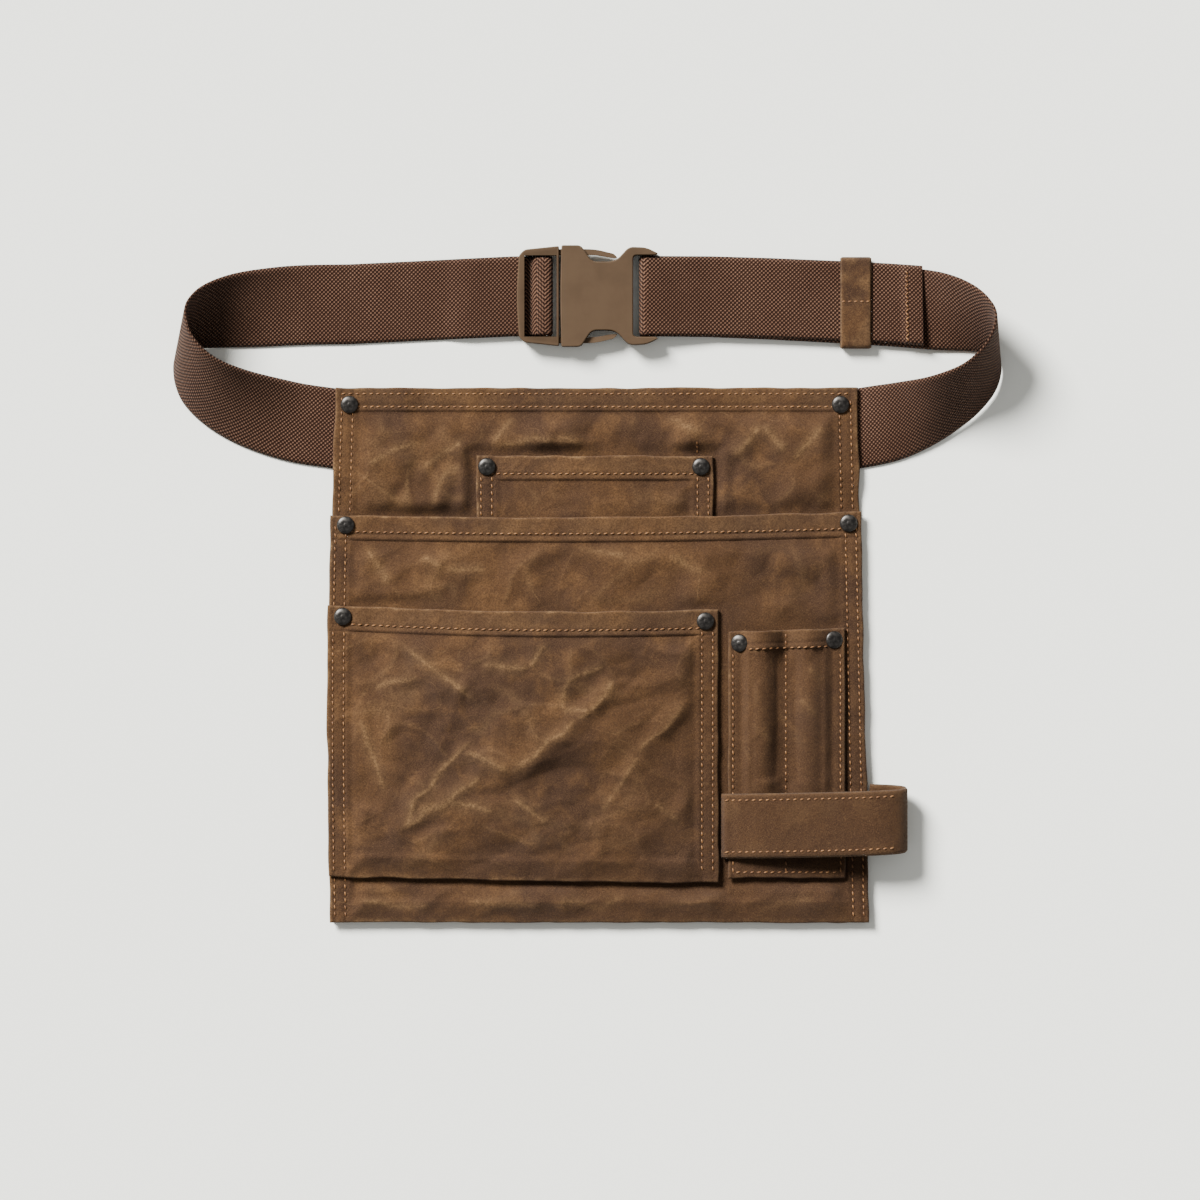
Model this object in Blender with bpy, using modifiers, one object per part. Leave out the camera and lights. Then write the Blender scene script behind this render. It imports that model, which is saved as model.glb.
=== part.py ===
"""Waist tool apron: canvas pockets on a back panel, hung on a webbing belt with a side-release buckle.

The apron lies on its back on the plane z = 0, front face up. +X runs to the right and +Y towards the waist.
The origin is the middle of the back panel's underside. Sizes are in metres.
"""

import math
from collections import namedtuple

import bmesh
import bpy
from mathutils import Vector

# Cloth
CANVAS = 0.0015
HEM = 0.0027
WEBBING = 0.0018
LOOP_CLOTH = 0.0024
GAP = 0.0003
NEST = 0.0005
HEM_STEP = 0.0012
SIDE_HEM = 0.012
BOTTOM_HEM = 0.012
COVER_FALL = 0.020

# Apron
APRON_HEIGHT = 0.334
APRON_TOP_WIDTH = 0.326
APRON_BOTTOM_WIDTH = 0.3355
APRON_SKEW = 0.002
APRON_BOW = 0.0024
APRON_TOP_HEM = 0.014
OVERHANG = 0.0006
SEAM = 0.0135
PANEL_SPACING = 0.021
FOLD_HEIGHT = 0.0014
FOLD_SPREAD = 0.011

# Wide pocket, across the whole apron
WIDE_DROP = 0.0794
WIDE_TILT = 0.0019
WIDE_SAG = 0.0025
WIDE_BAND = 0.0148
WIDE_DEPTH = 0.0095

# Upper pocket, tucked behind the wide one
UPPER_DROP = 0.0425
UPPER_HEIGHT = 0.110
UPPER_WIDTH = 0.148
UPPER_OFFSET = -0.002
UPPER_BAND = 0.0145
UPPER_DEPTH = 0.0052

# Large pocket, on the wide one
LARGE_DROP = 0.1356
LARGE_TILT = -0.0028
LARGE_SAG = 0.0028
LARGE_HEIGHT = 0.1697
LARGE_FOOT_TILT = -0.0038
LARGE_BAND = 0.0150
LARGE_DEPTH = 0.0078

# Pencil pocket, two tubes beside the large one
PENCIL_INSET = 0.01115
PENCIL_SPACE = 0.006
PENCIL_DROP = 0.1525
PENCIL_TILT = 0.0025
PENCIL_HEIGHT = 0.1538
PENCIL_WIDTH = 0.0729
PENCIL_BAND = 0.0110
PENCIL_SEAM = 0.0128
PENCIL_MIDDLE = 0.0360
PENCIL_MIDDLE_SEAM = 0.0028
TUBE_DEPTH = 0.0085

# Hammer loop
LOOP_WIDTH = 0.0405
LOOP_START = 0.0011
LOOP_REACH = 0.1155
LOOP_HEIGHT = 0.0224
LOOP_DROP = 0.2737
LOOP_SLANT = 0.006

# Belt
BELT_WIDTH = 0.050
BELT_DROP = 0.0253
BELT_SLOPE = math.radians(8.5)
STUB = 0.036
STUB_FALL = 0.020
LEFT_REACH = 0.0956
RIGHT_REACH = 0.0865
BELT_RISE = 0.0775
RETURN_LENGTH = 0.045
TAIL_LENGTH = 0.1735
TAIL_HEM = 0.012
TAIL_SHIFT = 0.0020
KEEPER_LENGTH = 0.0194
KEEPER_SLACK = 0.0014
KEEPER_CENTRE = 0.1610

# Buckle
BUCKLE_RISE = 0.2241
BUCKLE_WIDTH = 0.0634
BUCKLE_THICKNESS = 0.0115
BUCKLE_EDGE = 0.0013
FEMALE_LEFT = -0.0231
FEMALE_LENGTH = 0.0606
FEMALE_BAR_WIDTH = 0.0050
FEMALE_BAR_PLACE = 0.0533
MALE_LENGTH = 0.0267
MALE_GAP = 0.0012
MALE_WALL = 0.0016
MALE_INSET = 0.0009
MIDDLE_BAR_WIDTH = 0.0084
MIDDLE_BAR_PLACE = 0.0165
OUTER_BAR_WIDTH = 0.0050
OUTER_BAR_CLEARANCE = 0.0048
BAR_THICKNESS = 0.0030
SLOT_CLEARANCE = 0.0004
WRAP_CLEARANCE = 0.0007
PRONG_WIDTH = 0.0036
PRONG_THICKNESS = 0.0060
PRONG_LENGTH = 0.0385
PRONG_OFFSET = 0.0275
PRONG_CLEARANCE = 0.00035

# Rivets
CAP_RADIUS = 0.0055
CAP_HEIGHT = 0.0024
POST_RADIUS = 0.0018
DISC_RADIUS = 0.0034
DISC_THICKNESS = 0.0005
DISC_INSET = 0.0001
RIVET_SIDES = 12
POST_CLEARANCE = 0.0003

# A fold runs from one place to another, in shares of its panel's width and height.
Fold = namedtuple("Fold", "across_a up_a across_b up_b height spread")
BACK_FOLDS = [
    Fold(0.10, 0.90, 0.16, 0.80, 0.8, 1.1),
    Fold(0.22, 0.93, 0.15, 0.79, 0.9, 1.0),
    Fold(0.77, 0.88, 0.82, 0.94, 1.0, 1.0),
    Fold(0.88, 0.80, 0.95, 0.84, 0.8, 1.0),
]
WIDE_FOLDS = [
    Fold(0.17, 0.91, 0.25, 0.85, 0.8, 1.0),
    Fold(0.80, 0.91, 0.90, 0.87, 0.9, 1.1),
    Fold(0.30, 0.05, 0.42, 0.04, 0.6, 1.0),
]
LARGE_FOLDS = [
    Fold(0.18, 0.17, 0.36, 0.75, 1.0, 0.9),
    Fold(0.18, 0.17, 0.40, 0.42, 0.8, 0.9),
    Fold(0.36, 0.48, 0.50, 0.38, 1.1, 0.9),
    Fold(0.50, 0.38, 0.72, 0.72, 1.0, 0.9),
    Fold(0.92, 0.66, 0.73, 0.33, 0.9, 1.0),
    Fold(0.20, 0.88, 0.36, 0.69, 0.7, 1.0),
]

# One station of the belt's turn: its centre in shares of the turn's reach and of the rise from the lower
# band to the upper one, the turn of its width away from +Y and how far it leans off the floor, both in
# degrees, and how far its low edge is lifted, in shares of the lift that the keeper gives it.
Turn = namedtuple("Turn", "across up swing lean lifted")
LEFT_TURN = [
    Turn(0.040, 0.006, 3.7, 0.0, 0.0),
    Turn(0.267, 0.050, 4.3, 4.0, 0.0),
    Turn(0.552, 0.147, 8.4, 20.0, 0.0),
    Turn(0.758, 0.262, 16.5, 33.0, 0.0),
    Turn(0.899, 0.395, 20.0, 41.0, 0.0),
    Turn(0.976, 0.536, 17.0, 43.5, 0.0),
    Turn(1.000, 0.669, 15.0, 45.0, 0.0),
    Turn(0.995, 0.766, 13.5, 45.0, 0.0),
    Turn(0.951, 0.847, 12.5, 42.0, 0.0),
    Turn(0.854, 0.903, 11.0, 34.0, 0.0),
    Turn(0.690, 0.944, 8.0, 23.0, 0.0),
    Turn(0.478, 0.969, 3.0, 13.0, 0.0),
    Turn(0.222, 0.992, 0.0, 4.0, 0.0),
    Turn(-0.100, 1.000, 0.0, 0.0, 0.0),
]
RIGHT_TURN = [
    Turn(0.040, 0.006, 3.0, 0.0, 0.0),
    Turn(0.278, 0.053, 4.0, 15.0, 0.0),
    Turn(0.500, 0.129, 8.5, 32.0, 0.0),
    Turn(0.694, 0.234, 15.0, 44.0, 0.0),
    Turn(0.831, 0.337, 15.5, 49.5, 0.0),
    Turn(0.944, 0.480, 14.0, 51.5, 0.0),
    Turn(0.995, 0.619, 10.0, 51.5, 0.0),
    Turn(1.000, 0.718, 7.0, 50.5, 0.0),
    Turn(0.961, 0.802, 5.5, 47.0, 0.0),
    Turn(0.856, 0.873, 4.5, 36.0, 0.1),
    Turn(0.694, 0.925, 4.0, 21.0, 0.3),
    Turn(0.496, 0.956, 2.0, 6.0, 0.7),
    Turn(0.257, 0.980, 0.7, 0.0, 1.0),
    Turn(-0.020, 1.000, 0.0, 0.0, 1.0),
]

# One station of the hammer loop, in shares of its reach, its height and its slant.
Rise = namedtuple("Rise", "across height shift")
LOOP_RISE = [
    Rise(0.000, 0.00, 0.00),
    Rise(0.025, 0.00, 0.00),
    Rise(0.058, 0.46, 0.00),
    Rise(0.136, 0.61, 0.02),
    Rise(0.240, 0.72, 0.05),
    Rise(0.420, 0.84, 0.12),
    Rise(0.595, 0.93, 0.20),
    Rise(0.768, 1.00, 0.30),
    Rise(0.880, 0.99, 0.40),
    Rise(0.958, 0.86, 0.50),
    Rise(1.000, 0.58, 0.65),
    Rise(0.986, 0.28, 0.80),
    Rise(0.932, 0.13, 0.90),
    Rise(0.863, 0.06, 0.96),
    Rise(0.789, 0.00, 1.00),
]

# A corner of a buckle outline: its place along the piece and aside from the middle line, in shares of the
# piece's length and half the buckle's width, and how much of the shorter side next to it is rounded off.
Corner = namedtuple("Corner", "along aside trim")
FEMALE_CORNERS = [
    Corner(-0.010, 0.00, 0.45),
    Corner(0.005, 1.00, 0.10),
    Corner(0.205, 1.00, 0.20),
    Corner(0.318, 0.675, 0.30),
    Corner(0.560, 0.675, 0.40),
    Corner(0.700, 0.97, 0.30),
    Corner(0.880, 0.955, 0.40),
    Corner(1.000, 0.84, 0.30),
    Corner(0.975, 0.803, 0.20),
    Corner(0.742, 0.803, 0.20),
]
MALE_CORNERS = [
    Corner(0.000, 0.00, 0.45),
    Corner(0.060, 0.80, 0.30),
    Corner(0.190, 0.915, 0.40),
    Corner(1.000, 0.985, 0.05),
]
PRONG_CORNERS = [
    Corner(0.00, 0.5, 0.02),
    Corner(0.62, 0.5, 0.40),
    Corner(0.93, -0.3, 0.30),
    Corner(1.00, -1.1, 0.40),
    Corner(0.88, -1.0, 0.40),
    Corner(0.64, -0.5, 0.40),
    Corner(0.00, -0.5, 0.02),
]

# A rivet sits in from the side and the top of its panel, in shares of its cap's diameter.
Rivet = namedtuple("Rivet", "panel side inset drop last")
RIVETS = [
    Rivet("back_panel", -1, 0.80, 0.96, "back_panel"),
    Rivet("back_panel", 1, 0.96, 0.96, "back_panel"),
    Rivet("upper_pocket", -1, 0.60, 0.63, "back_panel"),
    Rivet("upper_pocket", 1, 0.70, 0.63, "back_panel"),
    Rivet("wide_pocket", -1, 0.85, 0.57, "back_panel"),
    Rivet("wide_pocket", 1, 0.70, 0.63, "back_panel"),
    Rivet("large_pocket", -1, 0.85, 0.63, "back_panel"),
    Rivet("large_pocket", 1, 0.76, 0.66, "wide_pocket"),
    Rivet("pencil_pocket", -1, 0.62, 0.66, "wide_pocket"),
    Rivet("pencil_pocket", 1, 0.62, 0.66, "wide_pocket"),
]

BELT_Y = APRON_HEIGHT / 2 - BELT_DROP
KEEPER_LIFT = CANVAS + GAP
LAYER_STEP = WEBBING + GAP


def mix(low, high, share):
    return low + (high - low) * share


def share_of(value, low, high):
    return min(1, max(0, (value - low) / (high - low)))


def smooth(share):
    share = min(1, max(0, share))
    return share * share * (3 - 2 * share)


def spline(rows, steps):
    """Rows of numbers on a smooth curve through the given rows, with so many steps between two of them."""

    def between(a, b, c, d, t):
        curve = (2 * a - 5 * b + 4 * c - d) * t**2 + (3 * b - a - 3 * c + d) * t**3
        return 0.5 * (2 * b + (c - a) * t + curve)

    points = []
    for i in range(len(rows) - 1):
        near = [rows[min(max(i + k, 0), len(rows) - 1)] for k in (-1, 0, 1, 2)]
        for step in range(steps):
            points.append(tuple(between(*numbers, step / steps) for numbers in zip(*near)))
    points.append(tuple(rows[-1]))
    return points


def grid_lines(length, fixed, spacing):
    """Shares of a length where grid lines go: at the fixed distances, and evenly between them."""
    marks = sorted({0.0, length, *fixed})
    lines = [0.0]
    for low, high in zip(marks, marks[1:]):
        parts = max(1, round((high - low) / spacing))
        lines += [mix(low, high, (part + 1) / parts) / length for part in range(parts)]
    return lines


def apron_side(side, y):
    """x of the apron's left (-1) or right (1) edge. The left one bows outwards."""
    up = share_of(y, -APRON_HEIGHT / 2, APRON_HEIGHT / 2)
    half = mix(APRON_BOTTOM_WIDTH, APRON_TOP_WIDTH, up) / 2
    bow = APRON_BOW * math.sin(math.pi * up) if side < 0 else 0
    return side * (half + bow) + APRON_SKEW * (0.5 - up)


def strap_lift(x, y):
    """How far the back panel is lifted by the belt's ends sewn behind its top corners."""
    inside = min(x - apron_side(-1, y), apron_side(1, y) - x)
    low_edge = BELT_Y - BELT_WIDTH / 2 - STUB * math.tan(BELT_SLOPE) - GAP
    over = 1 - smooth((inside - STUB - 2 * HEM_STEP) / STUB_FALL)
    return LAYER_STEP * over * (1 - smooth((low_edge - y) / STUB_FALL))


class Panel:
    """A layer of canvas sewn to the panel below it along its sides and bottom, and open along its top."""

    def __init__(self, name, below, left, right, top, foot, band, **more):
        self.name = name
        self.below = below
        self.left = left
        self.right = right
        self.top_left = top
        self.foot_left = foot
        self.band = band
        self.tilt = more.get("tilt", 0)
        self.sag = more.get("sag", 0)
        self.foot_tilt = more.get("foot_tilt", 0)
        self.depth = more.get("depth", 0)
        self.seam = more.get("seam", SEAM)
        self.folds = more.get("folds", [])
        self.insets = more.get("insets", [])
        self.columns = more.get("columns", [])
        self.rows = more.get("rows", [])

    def across(self, x, y):
        return share_of(x, self.left(y), self.right(y))

    def top(self, x):
        across = self.across(x, self.top_left)
        return self.top_left + self.tilt * across - self.sag * math.sin(math.pi * across)

    def foot(self, x):
        return self.foot_left + self.foot_tilt * math.sin(math.pi / 2 * self.across(x, self.foot_left))

    def place(self, across, up):
        """The point at these shares of the panel's width and height."""
        x = mix(self.left(self.foot_left), self.right(self.foot_left), across)
        for _ in range(3):
            y = mix(self.foot(x), self.top(x), up)
            x = mix(self.left(y), self.right(y), across)
        return x, y

    def hem(self, x, y, fall):
        """1 on the doubled cloth of the hems, and 0 further than the fall from them."""
        side = min(x - self.left(y), self.right(y) - x) - SIDE_HEM
        band = self.top(x) - y - self.band
        foot = y - self.foot(x) - BOTTOM_HEM
        return 1 - smooth(min(side, band, foot) / fall)

    def thickness(self, x, y, fall=HEM_STEP):
        return mix(CANVAS, HEM, self.hem(x, y, fall))

    def rise(self, x, y):
        """How far the pocket's mouth stands open, from 0 at the bottom seam."""
        up = share_of(y, self.foot(x) + self.seam, self.top(x))
        return math.sin(math.pi / 2 * min(1, up / 0.65)) * (1 - 0.12 * smooth((up - 0.7) / 0.3))

    def belly(self, x, y):
        across = share_of(x, self.left(y) + self.seam, self.right(y) - self.seam)
        return self.depth * math.sin(math.pi * across) * self.rise(x, y)

    def crease(self, x, y):
        height = 0
        for fold in self.folds:
            start = Vector(self.place(fold.across_a, fold.up_a))
            run = Vector(self.place(fold.across_b, fold.up_b)) - start
            along = min(1, max(0, (Vector((x, y)) - start).dot(run) / run.length_squared))
            away = (Vector((x, y)) - start - run * along).length
            height = max(height, fold.height * (1 - smooth(away / (fold.spread * FOLD_SPREAD))))
        return FOLD_HEIGHT * height

    def underside(self, x, y):
        if self.below is None:
            return strap_lift(x, y) + self.crease(x, y)
        rest = self.below.underside(x, y) + self.below.thickness(x, y, COVER_FALL) + NEST
        return rest + self.belly(x, y) + self.crease(x, y)

    def surface(self, x, y):
        return self.underside(x, y) + self.thickness(x, y)

    def holds(self, x, y, margin=0):
        inside = self.left(y) - margin < x < self.right(y) + margin
        return inside and self.foot(x) - margin < y < self.top(x) + margin


class PencilPanel(Panel):
    """The pencil pocket, which bulges in a tube on either side of its middle seam."""

    def tubes(self, y):
        middle = self.left(y) + PENCIL_MIDDLE
        half = PENCIL_MIDDLE_SEAM / 2
        return [
            (self.left(y) + self.seam, middle - half),
            (middle + half, self.right(y) - self.seam),
        ]

    def belly(self, x, y):
        bulge = max(math.sin(math.pi * share_of(x, *tube)) for tube in self.tubes(y))
        return self.depth * bulge**0.8 * self.rise(x, y)


def hem_rows(height, band):
    """Heights above a panel's foot where its hems start and end."""
    return [BOTTOM_HEM, BOTTOM_HEM + HEM_STEP, height - band - HEM_STEP, height - band]


def apron_panels():
    """The five canvas panels by name, from the back one up."""
    waist = APRON_HEIGHT / 2
    side_hem = [SIDE_HEM, SIDE_HEM + HEM_STEP]
    strap_foot = waist + BELT_Y - BELT_WIDTH / 2 - STUB * math.tan(BELT_SLOPE) - GAP
    back = Panel(
        "back_panel",
        None,
        lambda y: apron_side(-1, y),
        lambda y: apron_side(1, y),
        waist,
        -waist,
        APRON_TOP_HEM,
        folds=BACK_FOLDS,
        insets=[*side_hem, STUB + 2 * HEM_STEP, STUB + 2 * HEM_STEP + STUB_FALL],
        rows=[*hem_rows(APRON_HEIGHT, APRON_TOP_HEM), strap_foot - STUB_FALL, strap_foot],
    )
    wide_top = waist - WIDE_DROP
    wide_height = wide_top + waist
    wide = Panel(
        "wide_pocket",
        back,
        lambda y: apron_side(-1, y) - OVERHANG,
        lambda y: apron_side(1, y) + OVERHANG,
        wide_top,
        -waist,
        WIDE_BAND,
        tilt=WIDE_TILT,
        sag=WIDE_SAG,
        depth=WIDE_DEPTH,
        folds=WIDE_FOLDS,
        insets=[*side_hem, SEAM + 2 * HEM_STEP],
        rows=hem_rows(wide_height, WIDE_BAND),
    )
    upper_top = waist - UPPER_DROP
    upper = Panel(
        "upper_pocket",
        back,
        lambda y: UPPER_OFFSET - UPPER_WIDTH / 2,
        lambda y: UPPER_OFFSET + UPPER_WIDTH / 2,
        upper_top,
        upper_top - UPPER_HEIGHT,
        UPPER_BAND,
        depth=UPPER_DEPTH,
        insets=side_hem,
        rows=hem_rows(UPPER_HEIGHT, UPPER_BAND),
    )
    pencil_left = apron_side(1, 0) - PENCIL_INSET - PENCIL_WIDTH
    large_right = pencil_left - PENCIL_SPACE
    large_top = waist - LARGE_DROP
    large = Panel(
        "large_pocket",
        wide,
        lambda y: apron_side(-1, y) - 2 * OVERHANG,
        lambda y: large_right,
        large_top,
        large_top - LARGE_HEIGHT,
        LARGE_BAND,
        tilt=LARGE_TILT,
        sag=LARGE_SAG,
        foot_tilt=LARGE_FOOT_TILT,
        depth=LARGE_DEPTH,
        folds=LARGE_FOLDS,
        insets=side_hem,
        rows=hem_rows(LARGE_HEIGHT, LARGE_BAND),
    )
    pencil_top = waist - PENCIL_DROP
    tube_width = PENCIL_MIDDLE - PENCIL_MIDDLE_SEAM / 2 - PENCIL_SEAM
    second_tube = PENCIL_MIDDLE + PENCIL_MIDDLE_SEAM / 2
    second_width = PENCIL_WIDTH - PENCIL_SEAM - second_tube
    quarters = (0, 0.2, 0.4, 0.6, 0.8, 1)
    pencil = PencilPanel(
        "pencil_pocket",
        wide,
        lambda y: pencil_left,
        lambda y: pencil_left + PENCIL_WIDTH,
        pencil_top,
        pencil_top - PENCIL_HEIGHT,
        PENCIL_BAND,
        tilt=PENCIL_TILT,
        depth=TUBE_DEPTH,
        seam=PENCIL_SEAM,
        columns=[PENCIL_SEAM + share * tube_width for share in quarters]
        + [second_tube + share * second_width for share in quarters],
        rows=[PENCIL_SEAM, PENCIL_HEIGHT - PENCIL_BAND - HEM_STEP, PENCIL_HEIGHT - PENCIL_BAND],
    )
    return {panel.name: panel for panel in (back, wide, upper, large, pencil)}


def clear_scene():
    for obj in list(bpy.data.objects):
        bpy.data.objects.remove(obj)


def collection(name):
    made = bpy.data.collections.new(name)
    bpy.context.scene.collection.children.link(made)
    return made


def material(name, color, roughness, metallic=0.0):
    made = bpy.data.materials.new(name)
    made.use_nodes = True
    shader = made.node_tree.nodes["Principled BSDF"]
    shader.inputs["Base Color"].default_value = (*color, 1)
    shader.inputs["Roughness"].default_value = roughness
    shader.inputs["Metallic"].default_value = metallic
    return made


def add_object(name, bm, home, finish=None):
    mesh = bpy.data.meshes.new(name)
    bm.to_mesh(mesh)
    bm.free()
    made = bpy.data.objects.new(name, mesh)
    home.objects.link(made)
    if finish:
        mesh.materials.append(finish)
        mesh.shade_smooth()
        mesh.set_sharp_from_angle(angle=math.radians(35))
    return made


def grid_object(name, points, home, finish):
    """A sheet through a grid of points, listed column by column."""
    bm = bmesh.new()
    last_column = len(points) - 1
    last_row = len(points[0]) - 1
    bmesh.ops.create_grid(bm, x_segments=last_column, y_segments=last_row, size=1)
    for vertex in bm.verts:
        column = round((vertex.co.x + 1) / 2 * last_column)
        row = round((vertex.co.y + 1) / 2 * last_row)
        vertex.co = points[column][row]
    return add_object(name, bm, home, finish)


def thicken(obj, thickness, thin_share, thick_vertices, offset):
    """Give a sheet its thickness, full on the thick vertices and thinner elsewhere."""
    solidify = obj.modifiers.new("cloth", "SOLIDIFY")
    solidify.thickness = thickness
    solidify.offset = offset
    if thick_vertices:
        group = obj.vertex_groups.new(name="doubled")
        group.add(thick_vertices, 1.0, "REPLACE")
        solidify.vertex_group = group.name
        solidify.thickness_vertex_group = thin_share
    else:
        solidify.thickness = thickness * thin_share


def drill(obj, cutters):
    holes = obj.modifiers.new("rivet holes", "BOOLEAN")
    holes.operand_type = "COLLECTION"
    holes.collection = cutters
    holes.operation = "DIFFERENCE"
    holes.solver = "EXACT"


def sew_panel(panel, home, finish, cutters):
    middle = (panel.top_left + panel.foot_left) / 2
    width = panel.right(middle) - panel.left(middle)
    height = panel.top_left - panel.foot_left
    insets = panel.insets + [width - inset for inset in panel.insets]
    columns = grid_lines(width, panel.columns + insets, PANEL_SPACING)
    rows = grid_lines(height, panel.rows, PANEL_SPACING)
    points = []
    for across in columns:
        places = [panel.place(across, up) for up in rows]
        points.append([(x, y, panel.underside(x, y)) for x, y in places])
    obj = grid_object(panel.name, points, home, finish)
    thick = [v.index for v in obj.data.vertices if panel.hem(v.co.x, v.co.y, HEM_STEP) > 0.5]
    thicken(obj, HEM, CANVAS / HEM, thick, 1.0)
    dissolve = obj.modifiers.new("flat faces", "DECIMATE")
    dissolve.decimate_type = "DISSOLVE"
    dissolve.angle_limit = math.radians(0.01)
    drill(obj, cutters)
    return obj


def sew_ribbon(name, stations, width, thickness, home, finish, doubled=0):
    """A strap through stations of a centre and the direction of its width, its last ones doubled over."""
    shares = (-0.5, 0.0, 0.5)
    points = [[centre + side * (width * share) for share in shares] for centre, side in stations]
    obj = grid_object(name, points, home, finish)
    thick = []
    if doubled:
        ends = {tuple(round(c, 6) for c in point) for column in points[-doubled:] for point in column}
        thick = [v.index for v in obj.data.vertices if tuple(round(c, 6) for c in v.co) in ends]
    thicken(obj, 2 * thickness, 0.5, thick, 0.0)
    return obj


def belt_end(side):
    """Where the belt leaves the apron, and its direction out from there."""
    x = apron_side(side, BELT_Y)
    return Vector((x, BELT_Y, 0)), Vector((side * math.cos(BELT_SLOPE), math.sin(BELT_SLOPE), 0))


def turn_stations(side, rows, reach):
    """Stations of the belt from its sewn end round one side of the waist to the upper band."""
    start, out = belt_end(side)
    low = WEBBING / 2
    swing = math.radians(rows[0].swing)
    end_side = Vector((-side * math.sin(swing), math.cos(swing), 0))
    stations = [(start - out * STUB * share + Vector((0, 0, low)), end_side) for share in (1.0, 0.5)]
    for across, up, swing, lean, lifted in spline(rows, 2):
        swing = math.radians(swing)
        lean = math.radians(lean)
        flat = Vector((-side * math.sin(swing), math.cos(swing), 0))
        width = flat * math.cos(lean) + Vector((0, 0, math.sin(lean)))
        height = low + lifted * KEEPER_LIFT + BELT_WIDTH / 2 * math.sin(lean)
        centre = Vector((start.x + side * reach * across, start.y + BELT_RISE * up, height))
        stations.append((centre, width))
    return stations


def wrap(centre, bar_width, first, last, steps):
    """Points of a strap's middle round a bar, by angle in degrees, in the plane of x and z."""
    wide = bar_width / 2 + WRAP_CLEARANCE + WEBBING / 2
    high = BAR_THICKNESS / 2 + WRAP_CLEARANCE + WEBBING / 2
    points = []
    for step in range(steps + 1):
        angle = math.radians(mix(first, last, step / steps))
        x = math.copysign(abs(math.cos(angle)) ** 0.8, math.cos(angle))
        z = math.copysign(abs(math.sin(angle)) ** 0.8, math.sin(angle))
        points.append(centre + Vector((wide * x, 0, high * z)))
    return points


def buckle_point(x):
    return Vector((x, BUCKLE_RISE, BUCKLE_THICKNESS / 2))


def male_left():
    return FEMALE_LEFT - MALE_GAP - MALE_LENGTH


def left_belt_stations():
    """The left strap: round the waist, under the outer bar, over the middle bar and back beneath itself."""
    stations = turn_stations(-1, LEFT_TURN, LEFT_REACH)
    straight = Vector((0, 1, 0))
    bar = buckle_point(male_left() + MIDDLE_BAR_PLACE)
    low = WEBBING / 2 + GAP
    high = low + LAYER_STEP
    band = stations[-1][0]
    mouth = male_left() - WEBBING
    return_end = bar.x - RETURN_LENGTH
    climb = RETURN_LENGTH * 0.35
    runs = [
        (return_end - climb, WEBBING / 2),
        (return_end - climb * 0.4, mix(WEBBING / 2, high, 0.75)),
        (return_end, high),
        (mouth, high),
        (male_left() + OUTER_BAR_WIDTH, high + GAP),
    ]
    for x, z in runs:
        y = mix(band.y, BUCKLE_RISE, share_of(x, band.x, mouth))
        stations.append((Vector((x, y, z)), straight))
    arc = wrap(bar, MIDDLE_BAR_WIDTH, 190, -100, 12)
    stations += [(point, straight) for point in arc]
    for x in (male_left() + OUTER_BAR_WIDTH, mouth, return_end):
        y = mix(band.y, BUCKLE_RISE, share_of(x, band.x, mouth))
        stations.append((Vector((x, y, low)), straight))
    return stations


def right_belt_stations():
    """The right strap: round the waist, through the keeper, round the bar and back over itself."""
    lower = turn_stations(1, RIGHT_TURN, RIGHT_REACH)
    straight = Vector((0, 1, 0))
    bar = buckle_point(FEMALE_LEFT + FEMALE_BAR_PLACE)
    band = lower[-1][0]
    settle = BELT_WIDTH * 0.8
    for share in (0.3, 0.6):
        lower.append((band.lerp(Vector((bar.x + settle, BUCKLE_RISE, band.z)), share), straight))
    for share in (1.0, 0.5, 0.2):
        x = bar.x + settle * share
        lower.append((Vector((x, mix(BUCKLE_RISE, band.y, 0.1 * share), band.z)), straight))
    arc = [(point, straight) for point in wrap(bar, FEMALE_BAR_WIDTH, 260, 90, 9)]
    tail_end = bar.x + TAIL_LENGTH
    tail = []
    upper_band = [station for station in reversed(lower) if station[0].y > BELT_Y + BELT_RISE / 2]
    over = [station for station in upper_band if bar.x + settle * 0.15 < station[0].x < tail_end - TAIL_HEM]
    crest = arc[-1][0].z - band.z - LAYER_STEP
    for centre, width in over:
        along = (centre.x - bar.x) / TAIL_LENGTH
        normal = Vector((1, 0, 0)).cross(width).normalized()
        step = LAYER_STEP + crest * (1 - smooth((centre.x - bar.x) / settle))
        tail.append((centre + normal * step + width * (TAIL_SHIFT * along), width))
    last_centre, last_width = tail[-1]
    normal = Vector((1, 0, 0)).cross(last_width).normalized()
    rise = (tail[-1][0] - tail[-2][0]).normalized()
    for x in (tail_end - TAIL_HEM, tail_end):
        centre = last_centre + rise * ((x - last_centre.x) / rise.x) + normal * (WEBBING / 2)
        tail.append((centre, last_width))
    return lower + arc + tail


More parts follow.
